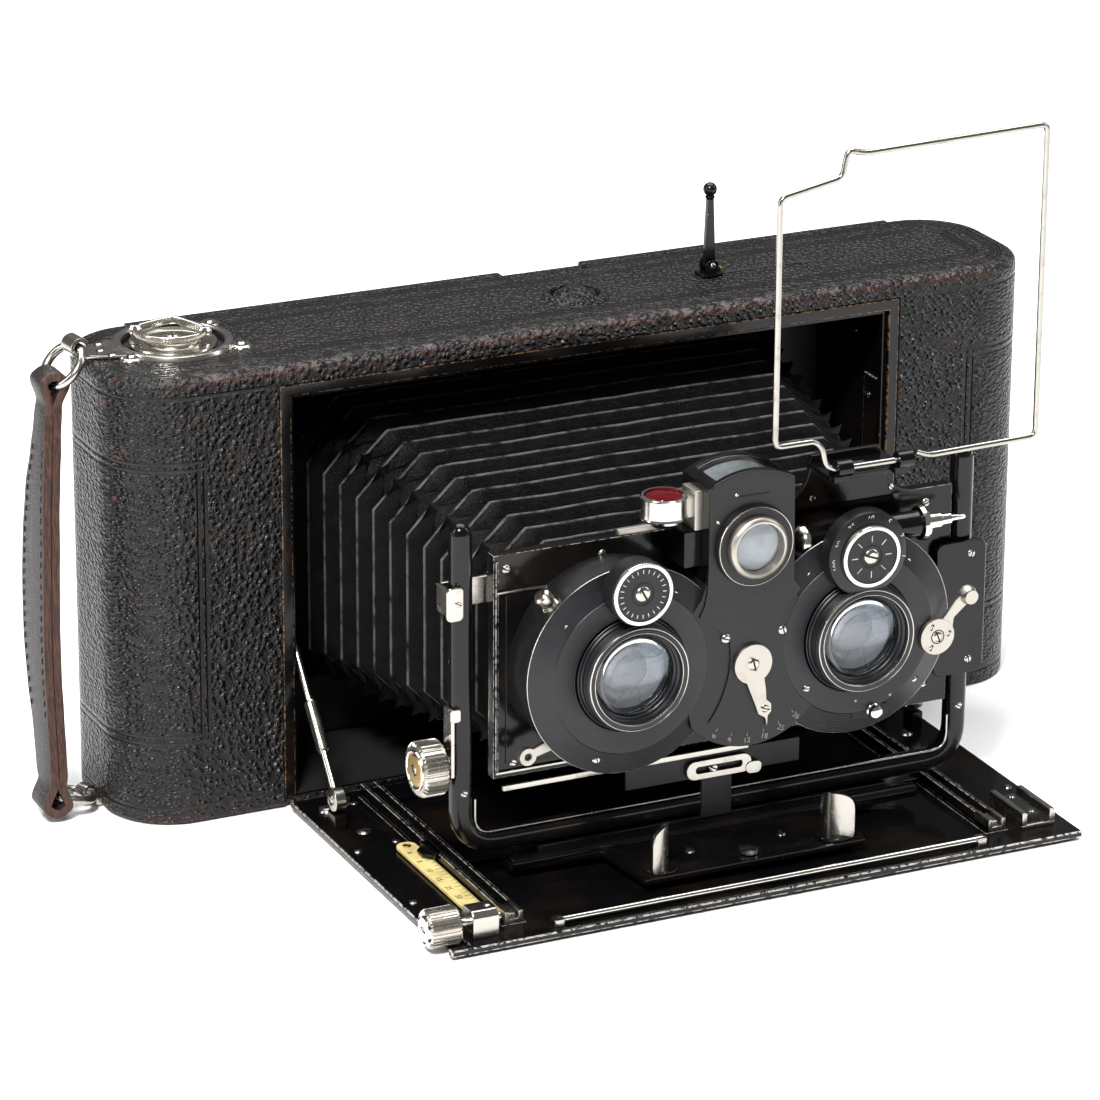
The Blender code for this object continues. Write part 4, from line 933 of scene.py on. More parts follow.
def make_strap():
    """One leather band round two rings, doubled back on itself, with rows of stitches."""
    far = []
    for name, ring, node in (("upper_ring", TOP_RING, "strap_ring_top"),
                             ("lower_ring", FOOT_RING, "strap_ring_bottom")):
        x, y, z = ring[0]
        shape = hung(torus((x - RING_RADIUS, y, z), "Z", RING_RADIUS, 1.1), ring)
        piece(name, "root", [(shape, "nickel")], (node,))
        slope, swing = (math.radians(a) for a in ring[1:])
        reach = 2 * RING_RADIUS
        far.append(Vector((x - reach * math.cos(slope) * math.cos(swing),
                           y - reach * math.cos(slope) * math.sin(swing), z - reach * math.sin(slope))))
    upper, lower = far
    middle = smoothed([(upper.x - 0.2, upper.y, upper.z - 3.4)] + [(x, y, z) for x, z, y, _ in STRAP_ROUTE[1:-1]]
                      + [(lower.x, lower.y, lower.z + 3.4)], 6)
    levels, widths = [stop[1] for stop in STRAP_ROUTE], [stop[3] for stop in STRAP_ROUTE]

    def half_width(z):
        for i in range(len(levels) - 1):
            if levels[i] >= z >= levels[i + 1]:
                share = (levels[i] - z) / (levels[i] - levels[i + 1])
                share = share * share * (3 - 2 * share)
                return widths[i] + (widths[i + 1] - widths[i]) * share
        return widths[0] if z > levels[0] else widths[-1]

    left = [p + Vector((-STRAP_PLY, 0, 0)) for p in middle]
    right = [p + Vector((STRAP_PLY, 0, 0)) for p in reversed(middle)]
    bend = [Vector((2.9 * math.cos(t), 0, 3.1 * math.sin(t)))
            for t in (math.radians(a) for a in (10, 40, 70, 100, 130, 160, 190, 220, 250, 280, 310, 340))]
    foot, head = [lower + step for step in bend[6:]], [upper + step for step in bend[:6]]
    path = smoothed(left[::3] + foot + right[::3] + head, 4, closed=True)
    rows, bm = [], bmesh.new()
    count = len(path)
    for i, here in enumerate(path):
        along = (path[(i + 1) % count] - path[i - 1]).normalized()
        out = along.cross(Vector((0, 1, 0))).normalized()
        half = half_width(here.z)
        sway = 0.3 * noise.noise(here * 0.06 + Vector((9, 2, 5)))
        row = []
        for u, v in ((-0.98, -0.97), (-0.9, -1.0), (0.9, -1.0), (0.98, -0.97), (1.05, 0), (0.98, 0.97), (0.9, 1.0),
                     (-0.9, 1.0), (-0.98, 0.97), (-1.0, 0)):
            row.append(bm.verts.new(here + out * (u * STRAP_PLY * 0.97) + Vector((0, v * half + sway, 0))))
        rows.append(row)
    layer = bm.faces.layers.float.new("wear")
    edges = bm.faces.layers.int.new("edge")
    for a, b in zip(rows, rows[1:] + rows[:1]):
        for k in range(len(a)):
            j = (k + 1) % len(a)
            face = bm.faces.new((a[k], b[k], b[j], a[j]))
            face[layer] = 1.0 if k in (0, 2, 5, 7) else 0.0
            face[edges] = 1 if k in (1, 6) else 0
    bmesh.ops.recalc_face_normals(bm, faces=bm.faces)
    for face in bm.faces:
        face.material_index = 1 if face[edges] else 0
    finish_piece("hand_strap", "root", bm, ["strap", "flesh"], ("carrying_strap",), sharp=math.radians(50),
                 weighted=False)

    stitches = []
    outer = [p for p in left if 24 < p.z < 94]
    travelled, last = 0.0, outer[0]
    for here, ahead in zip(outer, outer[1:]):
        for share in range(12):
            point = here.lerp(ahead, share / 12)
            travelled += (point - last).length
            last = point
            if travelled < STITCH_STEP:
                continue
            travelled = 0.0
            tilt = math.degrees(math.atan2(ahead.x - here.x, ahead.z - here.z))
            for side in (-1, 1):
                thread = prism(rounded(-0.14, -0.72, 0.14, 0.72, 0.13, 3), -0.16, 0.16, "X")
                turned(thread, tilt, "Y", (0, 0, 0))
                reach = side * (half_width(point.z) - 1.5)
                stitches.append((moved(thread, (point.x - STRAP_PLY - 0.02, point.y + reach, point.z)), "strap"))
    piece("strap_stitches", "root", stitches, weighted=False)


def make_top_fittings():
    x, y = BUTTON
    rim = [(-4.0, 0), (-4.0, 5.5), (0.2, 5.5), (0.75, 5.1), (1.2, 4.2), (1.9, 3.0), (2.4, 1.7), (2.6, 0.0)]
    piece("leather_button", "release_button", [(lathe(rim, (x, y, HEIGHT), "Z", 48), "leather")],
          ("bed_release_button",), sharp=math.radians(60))
    collar = [(0.0, 6.0), (0.0, 8.6), (0.35, 8.2), (0.95, 6.9), (1.05, 6.2)]
    piece("button_collar", "root", [(lathe(collar, (x, y, HEIGHT - 0.05), "Z", 48, ring=True), "leather")])

    sx, sy = SIGHT
    top = HEIGHT
    parts = [(prism(rounded(sx - 3.0, sy - 2.6, sx + 3.0, sy + 2.6, 0.8), top + 0.05, top + 1.0), "enamel", 0.25)]
    for side in (-1, 1):
        low, high = sorted((sy + side * 1.3, sy + side * 2.4))
        parts.append((prism(rounded(sx - 1.6, top + 0.8, sx + 1.6, top + 4.3, 1.2), low, high, "Y"), "enamel", 0.2))
    parts.append((box((sx + 3.2, sy - 0.45, top + 0.02), (sx + 26.5, sy + 0.45, top + 0.14)), "inside"))
    parts.append((box((sx + 2.7, sy - 1.0, top + 0.3), (sx + 3.4, sy + 1.0, top + 1.9)), "brass", 0.15))
    parts.append((prism(rounded(sx + 25.2, sy - 1.5, sx + 28.0, sy + 1.5, 1.2), top + 0.02, top + 0.2), "inside"))
    piece("sight_foot", "root", parts, ("sight_base",))
    pivot = top + 2.9
    blade = arc(sx, pivot, 1.5, 180, 360, 12) + [(sx + 0.75, top + 20.2), (sx - 0.75, top + 20.2)]
    parts = [(prism(blade, sy - 0.8, sy + 0.8, "Y"), "enamel", 0.2)]
    neck = [(19.6, 0), (19.6, 1.0), (20.2, 1.25), (20.6, 0.9), (20.9, 0)]
    parts.append((lathe(neck, (sx, sy, top), "Z", 24), "enamel"))
    ball = [(1.75 * -math.cos(t), 1.75 * math.sin(t)) for t in (math.pi * k / 12 for k in range(13))]
    ball[0], ball[-1] = (-1.75, 0), (1.75, 0)
    parts.append((lathe(ball, (sx, sy, top + 22.1), "Z", 28), "enamel"))
    parts += screw(sx, sy - 2.4, pivot, 0.9, 60, "Y", -1, 0.35)
    piece("sight_blade", "sight", parts, ("rear_sight",))


# ---------------------------------------------------------------- bed


def make_bed():
    low, high = BED_Z
    outline = [(-BED_HALF, BED_FRONT), (BED_HALF, BED_FRONT), (BED_HALF, BED_REAR), (-BED_HALF, BED_REAR),
               (-BED_HALF, KNOB[0] + 5), (-77.4, KNOB[0] + 5), (-77.4, KNOB[0] - 5), (-BED_HALF, KNOB[0] - 5)]
    parts = [(prism(outline, 0.7, high), "chipped", 0.35)]
    under = [(max(min(x, 81.0), -81.0), max(y, BED_FRONT + 1.4)) for x, y in outline[:4]]
    parts.append((prism(under, low, 0.9), "leather", 0.3))
    for x in (-50, 0, 50):
        tube = prism(circle(*HINGE, 1.1, 20), x - 14, x + 14, "X", holes=[circle(*HINGE, 0.7, 16)])
        parts.append((tube, "chipped"))
        parts.append((box((x - 14, HINGE[0] - 2.2, 0.8), (x + 14, HINGE[0] - 0.95, 1.8)), "enamel"))
    for side in (-1, 1):
        x0, x1 = sorted((side * (STRUT_X - 1.5), side * (STRUT_X + 1.5)))
        post = (STRUT_FOOT[0] - 2.4, STRUT_FOOT[0] + 2.4)
        parts.append((box((x0, post[0], high - 0.4), (x1, post[1], STRUT_FOOT[1] - 3.4)), "enamel", 0.3))
        track = [(side * 60.4, -112.8), (side * 66.6, -112.8), (side * 66.6, -30), (side * 60.4, -30)]
        parts.append((prism(track, high - 0.1, high + 0.22), "chipped", 0.1))
        for y in (-33, -58, -84):
            parts += screw(side * 69.0, y, high, 1.0, 30 + y, "Z", 1, 0.3)
    for x, y, radius in ((-73.6, -49.6, 1.9), (-71.6, -31.6, 2.2), (-76.6, -34.4, 2.2), (-79.6, -60, 1.0),
                         (73.6, -49.6, 1.9), (79.6, -60, 1.0), (-79.6, -92, 1.0), (79.6, -90, 1.0)):
        parts += screw(x, y, high, radius, 40 + 3 * x, "Z", 1, 0.5 if radius < 2 else 1.2)
    for y in (-60, -74):
        parts.append((box((-48, y - 0.5, high - 0.1), (48, y + 0.5, high + 0.18)), "enamel", 0.1))
    piece("bed_board", "bed", parts, ("bed_panel",))
    piece("hinge_rod", "root", [(prism(circle(*HINGE, 0.5, 16), -78, 78, "X"), "nickel", 0.1)], ("bed_hinge_pin",))

    z = high + 0.3
    rod = [(wire([(-55, BED_FRONT + 3.6, high + 1.2), (57, BED_FRONT + 3.6, high + 1.2)], 0.8, (0, 0, 1), 16),
            "bright")]
    for x in (-54.4, 56.4):
        rod.append((prism(rounded(x - 1.4, BED_FRONT + 2.0, x + 1.4, BED_FRONT + 5.2, 0.8), high, high + 1.9),
                    "nickel", 0.25))
    piece("catch_rod", "bed", rod, ("front_rod",))

    x0, x1 = -75.6, -69.0
    parts = [(prism([(KNOB[0] - 3.4, z - 0.3), (KNOB[0] + 3.4, z - 0.3), (KNOB[0] + 3.4, 7.6),
                     (KNOB[0] + 2.2, 9.0), (KNOB[0] - 2.2, 9.0), (KNOB[0] - 3.4, 7.6)], x0, x1, "X"), "nickel", 0.35)]
    parts += screw(-70.6, KNOB[0], 9.0, 1.0, 15, "Z", 1, 0.35)
    piece("knob_bearing", "bed", parts, ("focus_bearing",))
    parts = [(box((69.4, -114.5, z - 0.3), (78.4, -98.5, 3.6)), "nickel", 0.3)]
    for x in (69.4, 76.9):
        parts.append((box((x, -114.5, 3.2), (x + 1.5, -98.5, 6.6)), "nickel", 0.3))
    parts.append((box((72.0, -112.6, 3.4), (75.6, -100.0, 5.4)), "dull", 0.3))
    for y in (-111.0, -101.6):
        parts += screw(73.8, y, 5.3, 1.2, 60, "Z", 1, 0.4)
    piece("end_block", "bed", parts, ("bed_end_block",))

    parts = [(knurl((0, *KNOB), "X", -78.4, -86.1, 4.6, 30, 0.4, 0.5), "nickel")]
    parts.append((lathe([(-86.6, 0), (-86.6, 2.6), (-86.3, 3.1), (-85.9, 3.3), (-85.9, 0)], (0, *KNOB), "X", 40),
                  "bright"))
    for k in range(6):
        spoke = box((-86.45, -0.35, 0.9), (-86.0, 0.35, 3.4))
        turned(spoke, 60 * k, "X", (0, 0, 0))
        parts.append((moved(spoke, (0, *KNOB)), "inside"))
    parts += screw(-86.5, *KNOB, 1.2, 20, "X", -1, 0.25)
    parts.append((lathe([(-78.6, 0), (-78.6, 1.2), (-67.6, 1.2), (-67.6, 0)], (0, *KNOB), "X", 24), "nickel"))
    piece("focusing_knob", "focus_shaft", parts, ("focus_knob",))


def make_scale():
    z = BED_Z[1] + 0.3
    x0, x1, y0, y1 = -71.2, -66.2, -107.0, -61.5
    parts = [(prism(rounded(x0, y0, x1, y1, 2.4, 12), z, z + 0.8), "ivory", 0.12)]
    for y in (y0 + 2.4, y1 - 2.4):
        parts.append((torus(((x0 + x1) / 2, y, z + 0.82), "Z", 0.85, 0.22, 24, 8), "brass"))
        parts.append((lathe([(z + 0.7, 0), (z + 0.7, 0.7), (z + 0.86, 0.7), (z + 0.86, 0)],
                            ((x0 + x1) / 2, y, 0), "Z", 20), "inside"))
    for k in range(19):
        y = -68.0 - 1.85 * k
        reach = 0.9 if k % 3 else 1.7
        parts.append((box((x1 - 0.3 - reach, y - 0.09, z + 0.78), (x1 - 0.3, y + 0.09, z + 0.83)), "ink"))
    parts.append((box((x1 - 0.38, -101.4, z + 0.78), (x1 - 0.26, -67.9, z + 0.83)), "ink"))
    for k, text in enumerate(("6", "8", "10", "15", "25", "50", "100")):
        place = Matrix.Translation((x0 + 1.5, -68.0 - 5.55 * k, z + 0.8)) @ Matrix.Rotation(math.radians(-90), 4, "Z")
        parts.append(glyphs(text, 2.0, place, "ink", 0.03))
    piece("scale_plate", "bed", parts, ("distance_scale",))


def make_struts():
    foot, top = Vector(STRUT_FOOT), Vector(STRUT_TOP)
    along = (top - foot).normalized()
    length = (top - foot).length
    for name, body, side in (("strut_left", "left_strut", -1), ("strut_right", "right_strut", 1)):
        x = side * STRUT_X

        def at(distance):
            point = foot + along * distance
            return (x, point.x, point.y)

        parts = [(wire([at(1.0), at(length)], 0.85, (1, 0, 0), 16), "nickel")]
        sleeve = sweep([at(12.0), at(12.6), at(24.4), at(25.0)], rounded(-1.7, -1.25, 1.7, 1.25, 0.9, 4), (1, 0, 0),
                       scale=lambda share: (0.85, 0.85) if share in (0.0, 1.0) else (1.0, 1.0))
        parts.append((sleeve, "nickel"))
        parts.append((sweep([at(1.5), at(12.2)], rounded(-1.2, -0.6, 1.2, 0.6, 0.5, 3), (1, 0, 0)), "nickel"))
        eye = lathe([(-1.5, 0), (-1.5, 2.6), (-1.2, 3.0), (1.2, 3.0), (1.5, 2.6), (1.5, 0)],
                    (x, *STRUT_FOOT), "X", 40)
        parts.append((eye, "nickel"))
        parts += screw(x - 1.5, *STRUT_FOOT, 1.6, 30, "X", -1, 0.45)
        parts.append((lathe([(-1.1, 0), (-1.1, 1.9), (1.1, 1.9), (1.1, 0)], at(length), "X", 24), "nickel", 0.2))
        piece(name + "_detail", body, parts, (name,))


def make_carriage():
    z0, z1 = 2.6, 5.4
    parts = []
    for side in (-1, 1):
        x = side * RAIL_X
        parts.append((box((x - 2.2, -112.6, z0), (x + 2.2, -29.0, z0 + 0.9)), "enamel", 0.2))
        for edge in (-2.2, 1.3):
            parts.append((box((x + edge, -112.6, z0), (x + edge + 0.9, -29.0, z1)), "chipped", 0.2))
            cap = box((x + edge - 0.1, -112.8, z0 - 0.05), (x + edge + 1.0, -106.0, z1 + 0.25))
            parts.append((cap, "nickel", 0.2))
        parts.append((box((x - 2.3, -112.7, z0 - 0.05), (x + 2.3, -106.0, z0 + 1.2)), "nickel", 0.2))
        parts.append((box((x - 0.8, -111.8, z0 + 0.8), (x + 0.8, -106.6, z1 - 0.5)), "nickel", 0.25))
        for k in range(34):
            y = -100 + 2.0 * k
            parts.append((box((x - 0.95, y, z0 + 0.8), (x + 0.95, y + 1.0, z0 + 1.35)), "nickel"))
    for y in (-76.0, -34.0):
        parts.append((box((-RAIL_X - 0.5, y - 3.0, z0), (RAIL_X + 0.5, y + 3.0, z0 + 1.2)), "enamel", 0.25))
    parts.append((prism([(-65.6, -75.4), (-68.6, -72.6), (-68.6, -69.4), (-65.6, -66.6)], 4.0, 4.7), "enamel", 0.2))
    parts.append((box((-66.6, -75.4, 3.9), (-64.4, -66.6, 5.4)), "enamel", 0.25))
    piece("carriage_rails", "carriage", parts, ("focus_carriage",))


# ---------------------------------------------------------------- standard and bellows


def make_standard():
    y = STANDARD_Y
    outline = [(-54, -90.5), (-54, -83.5), (54, -83.5), (54, -90.5), (31, -91.5), (29, -110.6), (-29, -110.6),
               (-31, -91.5)]
    parts = [(prism(outline, 4.6, 6.2), "enamel", 0.35)]
    parts.append((wire([(-53.6, -89.4, 6.3), (53.6, -89.4, 6.3)], 1.7, (0, 0, 1), 20), "enamel", 0.25))
    parts.append((box((-46, y - 2.2, 5.0), (46, y + 2.2, 9.3)), "enamel", 0.3))
    for side in (-1, 1):
        parts.append((prism(circle(side * 22.8, -106.0, 4.4, 36), 6.2, 7.0), "enamel", 0.3))
        parts += screw(side * 50.0, -86.0, 6.2, 1.2, 25 * side, "Z", 1, 0.4)
        parts += screw(side * 36.0, -86.0, 6.2, 1.2, 50 * side, "Z", 1, 0.4)
        parts += screw(side * 12.0, -100.0, 6.2, 1.3, 80 * side, "Z", 1, 0.4)
    parts.append((lathe([(6.5, 0), (6.5, 2.4), (7.4, 2.4), (7.8, 1.6), (7.8, 0)], (0, -106.6, 0), "Z", 32), "nickel"))
    piece("foot_plate", "standard", parts, ("standard_foot",))

    for name, body, side, node in (("grip_shell_left", "left_grip", -1, "finger_grip_left"),
                                   ("grip_shell_right", "right_grip", 1, "finger_grip_right")):
        loops = []
        heights = [(6.6, 0.96), (8.0, 1.0), (10.5, 1.0), (13.4, 1.0), (15.0, 0.96), (16.2, 0.84), (17.0, 0.66),
                   (17.5, 0.42), (17.7, 0.2)]
        for z, share in heights:
            outer = arc(0, 0, 5.4, 180 + 90 - 54 * share, 180 + 90 + 54 * share, 14)
            inner = arc(0, 0.15, 4.3, 180 + 90 + 52 * share, 180 + 90 - 52 * share, 14)
            loops.append([(u, v + 4.2, z) for u, v in outer + inner])
        shell = stacked(loops)
        turned(shell, -48 * side, "Z", (0, 0, 0))
        moved(shell, (side * 22.8, -107.0, 0))
        piece(name, body, [(shell, "nickel")], (node,), sharp=math.radians(50))

    path = filleted([(-65.3, y, 89.4), (-65.3, y, 12.3), (65.3, y, 12.3), (65.3, y, 89.4)], 9.0, 12)
    parts = [(sweep(path, rounded(-2.6, -2.5, 2.6, 2.5, 1.9, 6), (0, 1, 0)), "enamel")]
    for x in (-65.3, 65.3):
        parts.append((dome((x, y, 0), "Z", 89.2, 2.7, 2.55, 32), "enamel"))
    trim = [(x, y - 1.9, z) for x, z in ((-62.4, 24), (-62.4, 15.2), (62.4, 15.2), (62.4, 24))]
    parts.append((wire(filleted(trim, 5.0, 10), 0.3, (0, 1, 0), 10), "nickel"))
    parts.append((prism(rounded(-68.9, 30.5, -68.0, 47.4, 0.4), y - 2.9, y + 1.5, "Y"), "nickel", 0.2))
    parts.append((prism(rounded(-69.2, 44.4, -66.6, 47.6, 0.7), y - 3.3, y - 2.3, "Y"), "nickel", 0.2))
    for x, z in ((-65.3, 26.0), (65.3, 26.0)):
        parts += screw(x, y - 2.4, z, 1.1, 30, "Y", -1, 0.35)
    piece("u_bow", "standard", parts, ("u_frame",))

    parts = [(knurl((0, y, RISE_Z), "X", -70.4, -76.6, 6.6, 34, 0.45, 0.6), "nickel")]
    parts.append((lathe([(-77.0, 0), (-77.0, 3.6), (-76.5, 4.2), (-76.3, 0)], (0, y, RISE_Z), "X", 40), "brass"))
    parts.append((torus((-76.7, y, RISE_Z), "X", 4.5, 0.35, 48, 8), "bright"))
    parts += screw(-76.9, y, RISE_Z, 1.5, 50, "X", -1, 0.3)
    parts.append((lathe([(-70.5, 0), (-70.5, 2.0), (-68.3, 2.0), (-68.3, 0)], (0, y, RISE_Z), "X", 28), "nickel"))
    piece("rising_knob", "rise_shaft", parts, ("rise_knob",))

    lever = prism(rounded(-8.5, 19.6, 8.5, 24.2, 2.2, 8), -90.9, -89.9, "Y", [rounded(-6.2, 21.0, 6.2, 22.8, 0.8, 5)])
    parts = [(lever, "nickel", 0.2), (prism(rounded(7.0, 18.8, 11.2, 22.0, 1.4), -91.2, -90.2, "Y"), "nickel", 0.25)]
    piece("lock_lever", "lock_slide", parts, ("shift_lock",))
    parts = screw(-1.4, -90.6, 21.9, 1.3, 25, "Y", -1, 0.55)
    parts += [(box((-56.0, -90.5, 25.2), (8.0, -89.5, 26.7)), "nickel", 0.25)]
    parts += [(box((-24.0, -89.6, 19.4), (22.0, -89.0, 25.4)), "dull", 0.2)]
    parts += [(box((-4.0, -89.8, 9.0), (4.0, -88.6, 19.6)), "dull", 0.3)]
    piece("lock_plate", "standard", parts)


def make_bellows():
    """Pleated leather tube; at the cut corners the ridges turn into valleys and back."""
    rear, front = BELLOWS_ENDS
    pitch = (rear - front) / PLEATS

    def ring(y, fold, wear):
        """fold is 0 on a ridge and 1 in a valley."""
        share = (rear - y) / (rear - front)
        inset, cut, push = 0.15 + 6.0 * fold, 12.6 - 9.6 * fold, 4.3 * fold
        half = 69.0 - 15.0 * share - inset
        low, high = 17.0 + 11.0 * share + inset, 93.0 - 11.0 * share - inset
        corners = [(half, low + cut), (half, high - cut), (half - cut, high), (-half + cut, high),
                   (-half, high - cut), (-half, low + cut), (-half + cut, low), (half - cut, low)]
        points = []
        for k, start in enumerate(corners):
            end = corners[(k + 1) % 8]
            count = (14, 4, 26, 4)[k % 4]
            out = (math.copysign(1, start[0] + end[0]), math.copysign(1, start[1] + end[1] - low - high))
            for i in range(count):
                t = i / count
                lift = push * (1 - abs(2 * t - 1)) if k % 2 else 0.0
                x = start[0] + (end[0] - start[0]) * t + out[0] * lift
                z = start[1] + (end[1] - start[1]) * t + out[1] * lift
                sway = Vector((x * 0.05, y * 0.11, z * 0.05))
                drift = 0.45 * noise.noise(sway) + 0.2 * noise.noise(sway * 4.0)
                points.append((x + 0.25 * drift, y + 0.75 * drift, z + 0.5 * drift))
        return points, wear

    rows = []
    for k in range(PLEATS + 1):
        y = front + pitch * k
        rows.append(ring(y, 1.0, 0.0))
        if k < PLEATS:
            # The last number marks the ridges, which the cloth paints lighter: ridge wear and a painted highlight.
            for step, fold, wear in ((0.24, 0.5, 0.0), (0.42, 0.07, 0.3), (0.465, 0.0, 1.0), (0.535, 0.0, 1.0),
                                     (0.58, 0.07, 0.3), (0.76, 0.5, 0.0)):
                rows.append(ring(y + pitch * step, fold, wear))
    bm = bmesh.new()
    layer = bm.verts.layers.float.new("wear")
    made = []
    for points, wear in rows:
        row = [bm.verts.new(point) for point in points]
        for vert in row:
            vert[layer] = wear
        made.append(row)
    for a, b in zip(made, made[1:]):
        for k in range(len(a)):
            j = (k + 1) % len(a)
            bm.faces.new((a[k], b[k], b[j], a[j]))
    bmesh.ops.recalc_face_normals(bm, faces=bm.faces)
    obj = finish_piece("bellows_skin", "standard", bm, ["cloth"], ("bellows",), sharp=math.radians(42),
                       weighted=False)
    modifier = obj.modifiers.new("Thickness", "SOLIDIFY")
    modifier.thickness = BELLOWS_SKIN * MM
    modifier.offset = -1.0
    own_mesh(obj)


# ---------------------------------------------------------------- lens board and shutter


def make_board():
    y0, y1 = -88.5, -85.5
    x0, z0, x1, z1 = -57.6, 28.0, 62.0, 83.0
    holes = [circle(side * LENS_X, LENS_Z, 12.0, 40) for side in (-1, 1)]
    parts = [(prism([(x0, z0), (x1, z0), (x1, z1), (x0, z1)], y0, y1, "Y", holes), "chipped", 0.35)]
    inner = [circle(side * LENS_X, LENS_Z, 13.0, 40) for side in (-1, 1)]
    step = [(-54.6, 31.2), (59.0, 31.2), (59.0, 73.2), (-54.6, 73.2)]
    parts.append((prism(step, y0 - 0.35, y0 + 0.2, "Y", inner), "enamel", 0.2))
    y = STANDARD_Y
    parts.append((prism(rounded(57.0, 35.0, 70.4, 69.0, 2.2), y - 4.2, y - 3.0, "Y"), "enamel", 0.35))
    parts.append((wire([(70.0, y - 3.4, 36.6), (70.0, y - 3.4, 67.4)], 0.7, (0, 1, 0), 16), "chipped", 0.2))
    parts.append((box((57.0, y - 3.4, 36.0), (61.0, y - 1.0, 68.0)), "enamel", 0.3))
    for z in (38.5, 65.5):
        parts += screw(66.4, y - 4.2, z, 1.1, 40 + z, "Y", -1, 0.35)
    clip = [(box((x0 + 0.4, y - 1.4, 70.0), (x0 + 3.4, y + 4.4, 77.0)), "enamel", 0.3),
            (box((-69.8, y + 2.9, 70.2), (x0 + 2.0, y + 4.1, 76.8)), "nickel", 0.3),
            (box((-69.8, y - 2.6, 70.2), (-68.5, y + 4.1, 76.8)), "nickel", 0.3),
            (prism(rounded(-70.2, 69.4, -66.0, 77.6, 1.2), y - 3.6, y - 2.6, "Y"), "nickel", 0.3)]
    parts += clip + screw(-67.4, y - 3.5, 73.6, 0.9, 30, "Y", -1, 0.3)
    for low, high, z in ((-57.0, -34.0, 73.6), (-57.2, -38.0, 29.0)):
        parts.append((box((low, y0 - 0.75, z), (high, y0 - 0.1, z + 0.75)), "nickel", 0.2))
    parts.append((box((-57.3, y0 - 0.6, 29.6), (-56.6, y0 - 0.1, 81.6)), "chipped", 0.15))
    for x, z in ((-54.4, 79.4), (-30.0, 79.4), (-52.6, 31.4), (55.0, 79.2), (55.6, 33.0)):
        parts += screw(x, y0 - 0.1, z, 1.15, 3 * x, "Y", -1, 0.4)
    piece("front_board", "front", parts, ("lens_board",))


def waist(low_y, high_y, radius):
    """The plate between the lenses, from the finder's neck down to the aperture scale."""
    right = [(10.4, 73.5), (11.6, 70.0), (14.2, 66.5), (13.0, 60.0), (11.5, 52.0), (15.0, 44.0)]
    foot = arc(*SCALE_CENTRE, radius, 322, 222, 20)
    left = [(-x, z) for x, z in reversed(right)]
    return prism(right + foot + left, low_y, high_y, "Y")


def face_plate(low_y, high_y, hole):
    """The plate that runs from the finder's crown down between the lenses to the aperture scale."""
    outline = [(12.2, 73.4), (12.3, 71.4), (13.9, 69.3)] + arc(LENS_X, LENS_Z, 20.9, 137, 216, 18)
    outline += arc(*SCALE_CENTRE, 17.2, 318, 229, 24) + arc(-LENS_X, LENS_Z, 25.5, -38, 8, 12)
    outline += [(-6.6, 61.4), (-9.0, 63.6), (-12.2, 65.8), (-10.9, 68.5), (-10.2, 72.0), (-10.0, 80.0)]
    outline += [(FINDER_CENTRE - u, v) for u, v in arc(0, CROWN_Z, 20.6, 58.0, 122.0, 22)]
    return prism(outline, low_y, high_y, "Y", [hole])


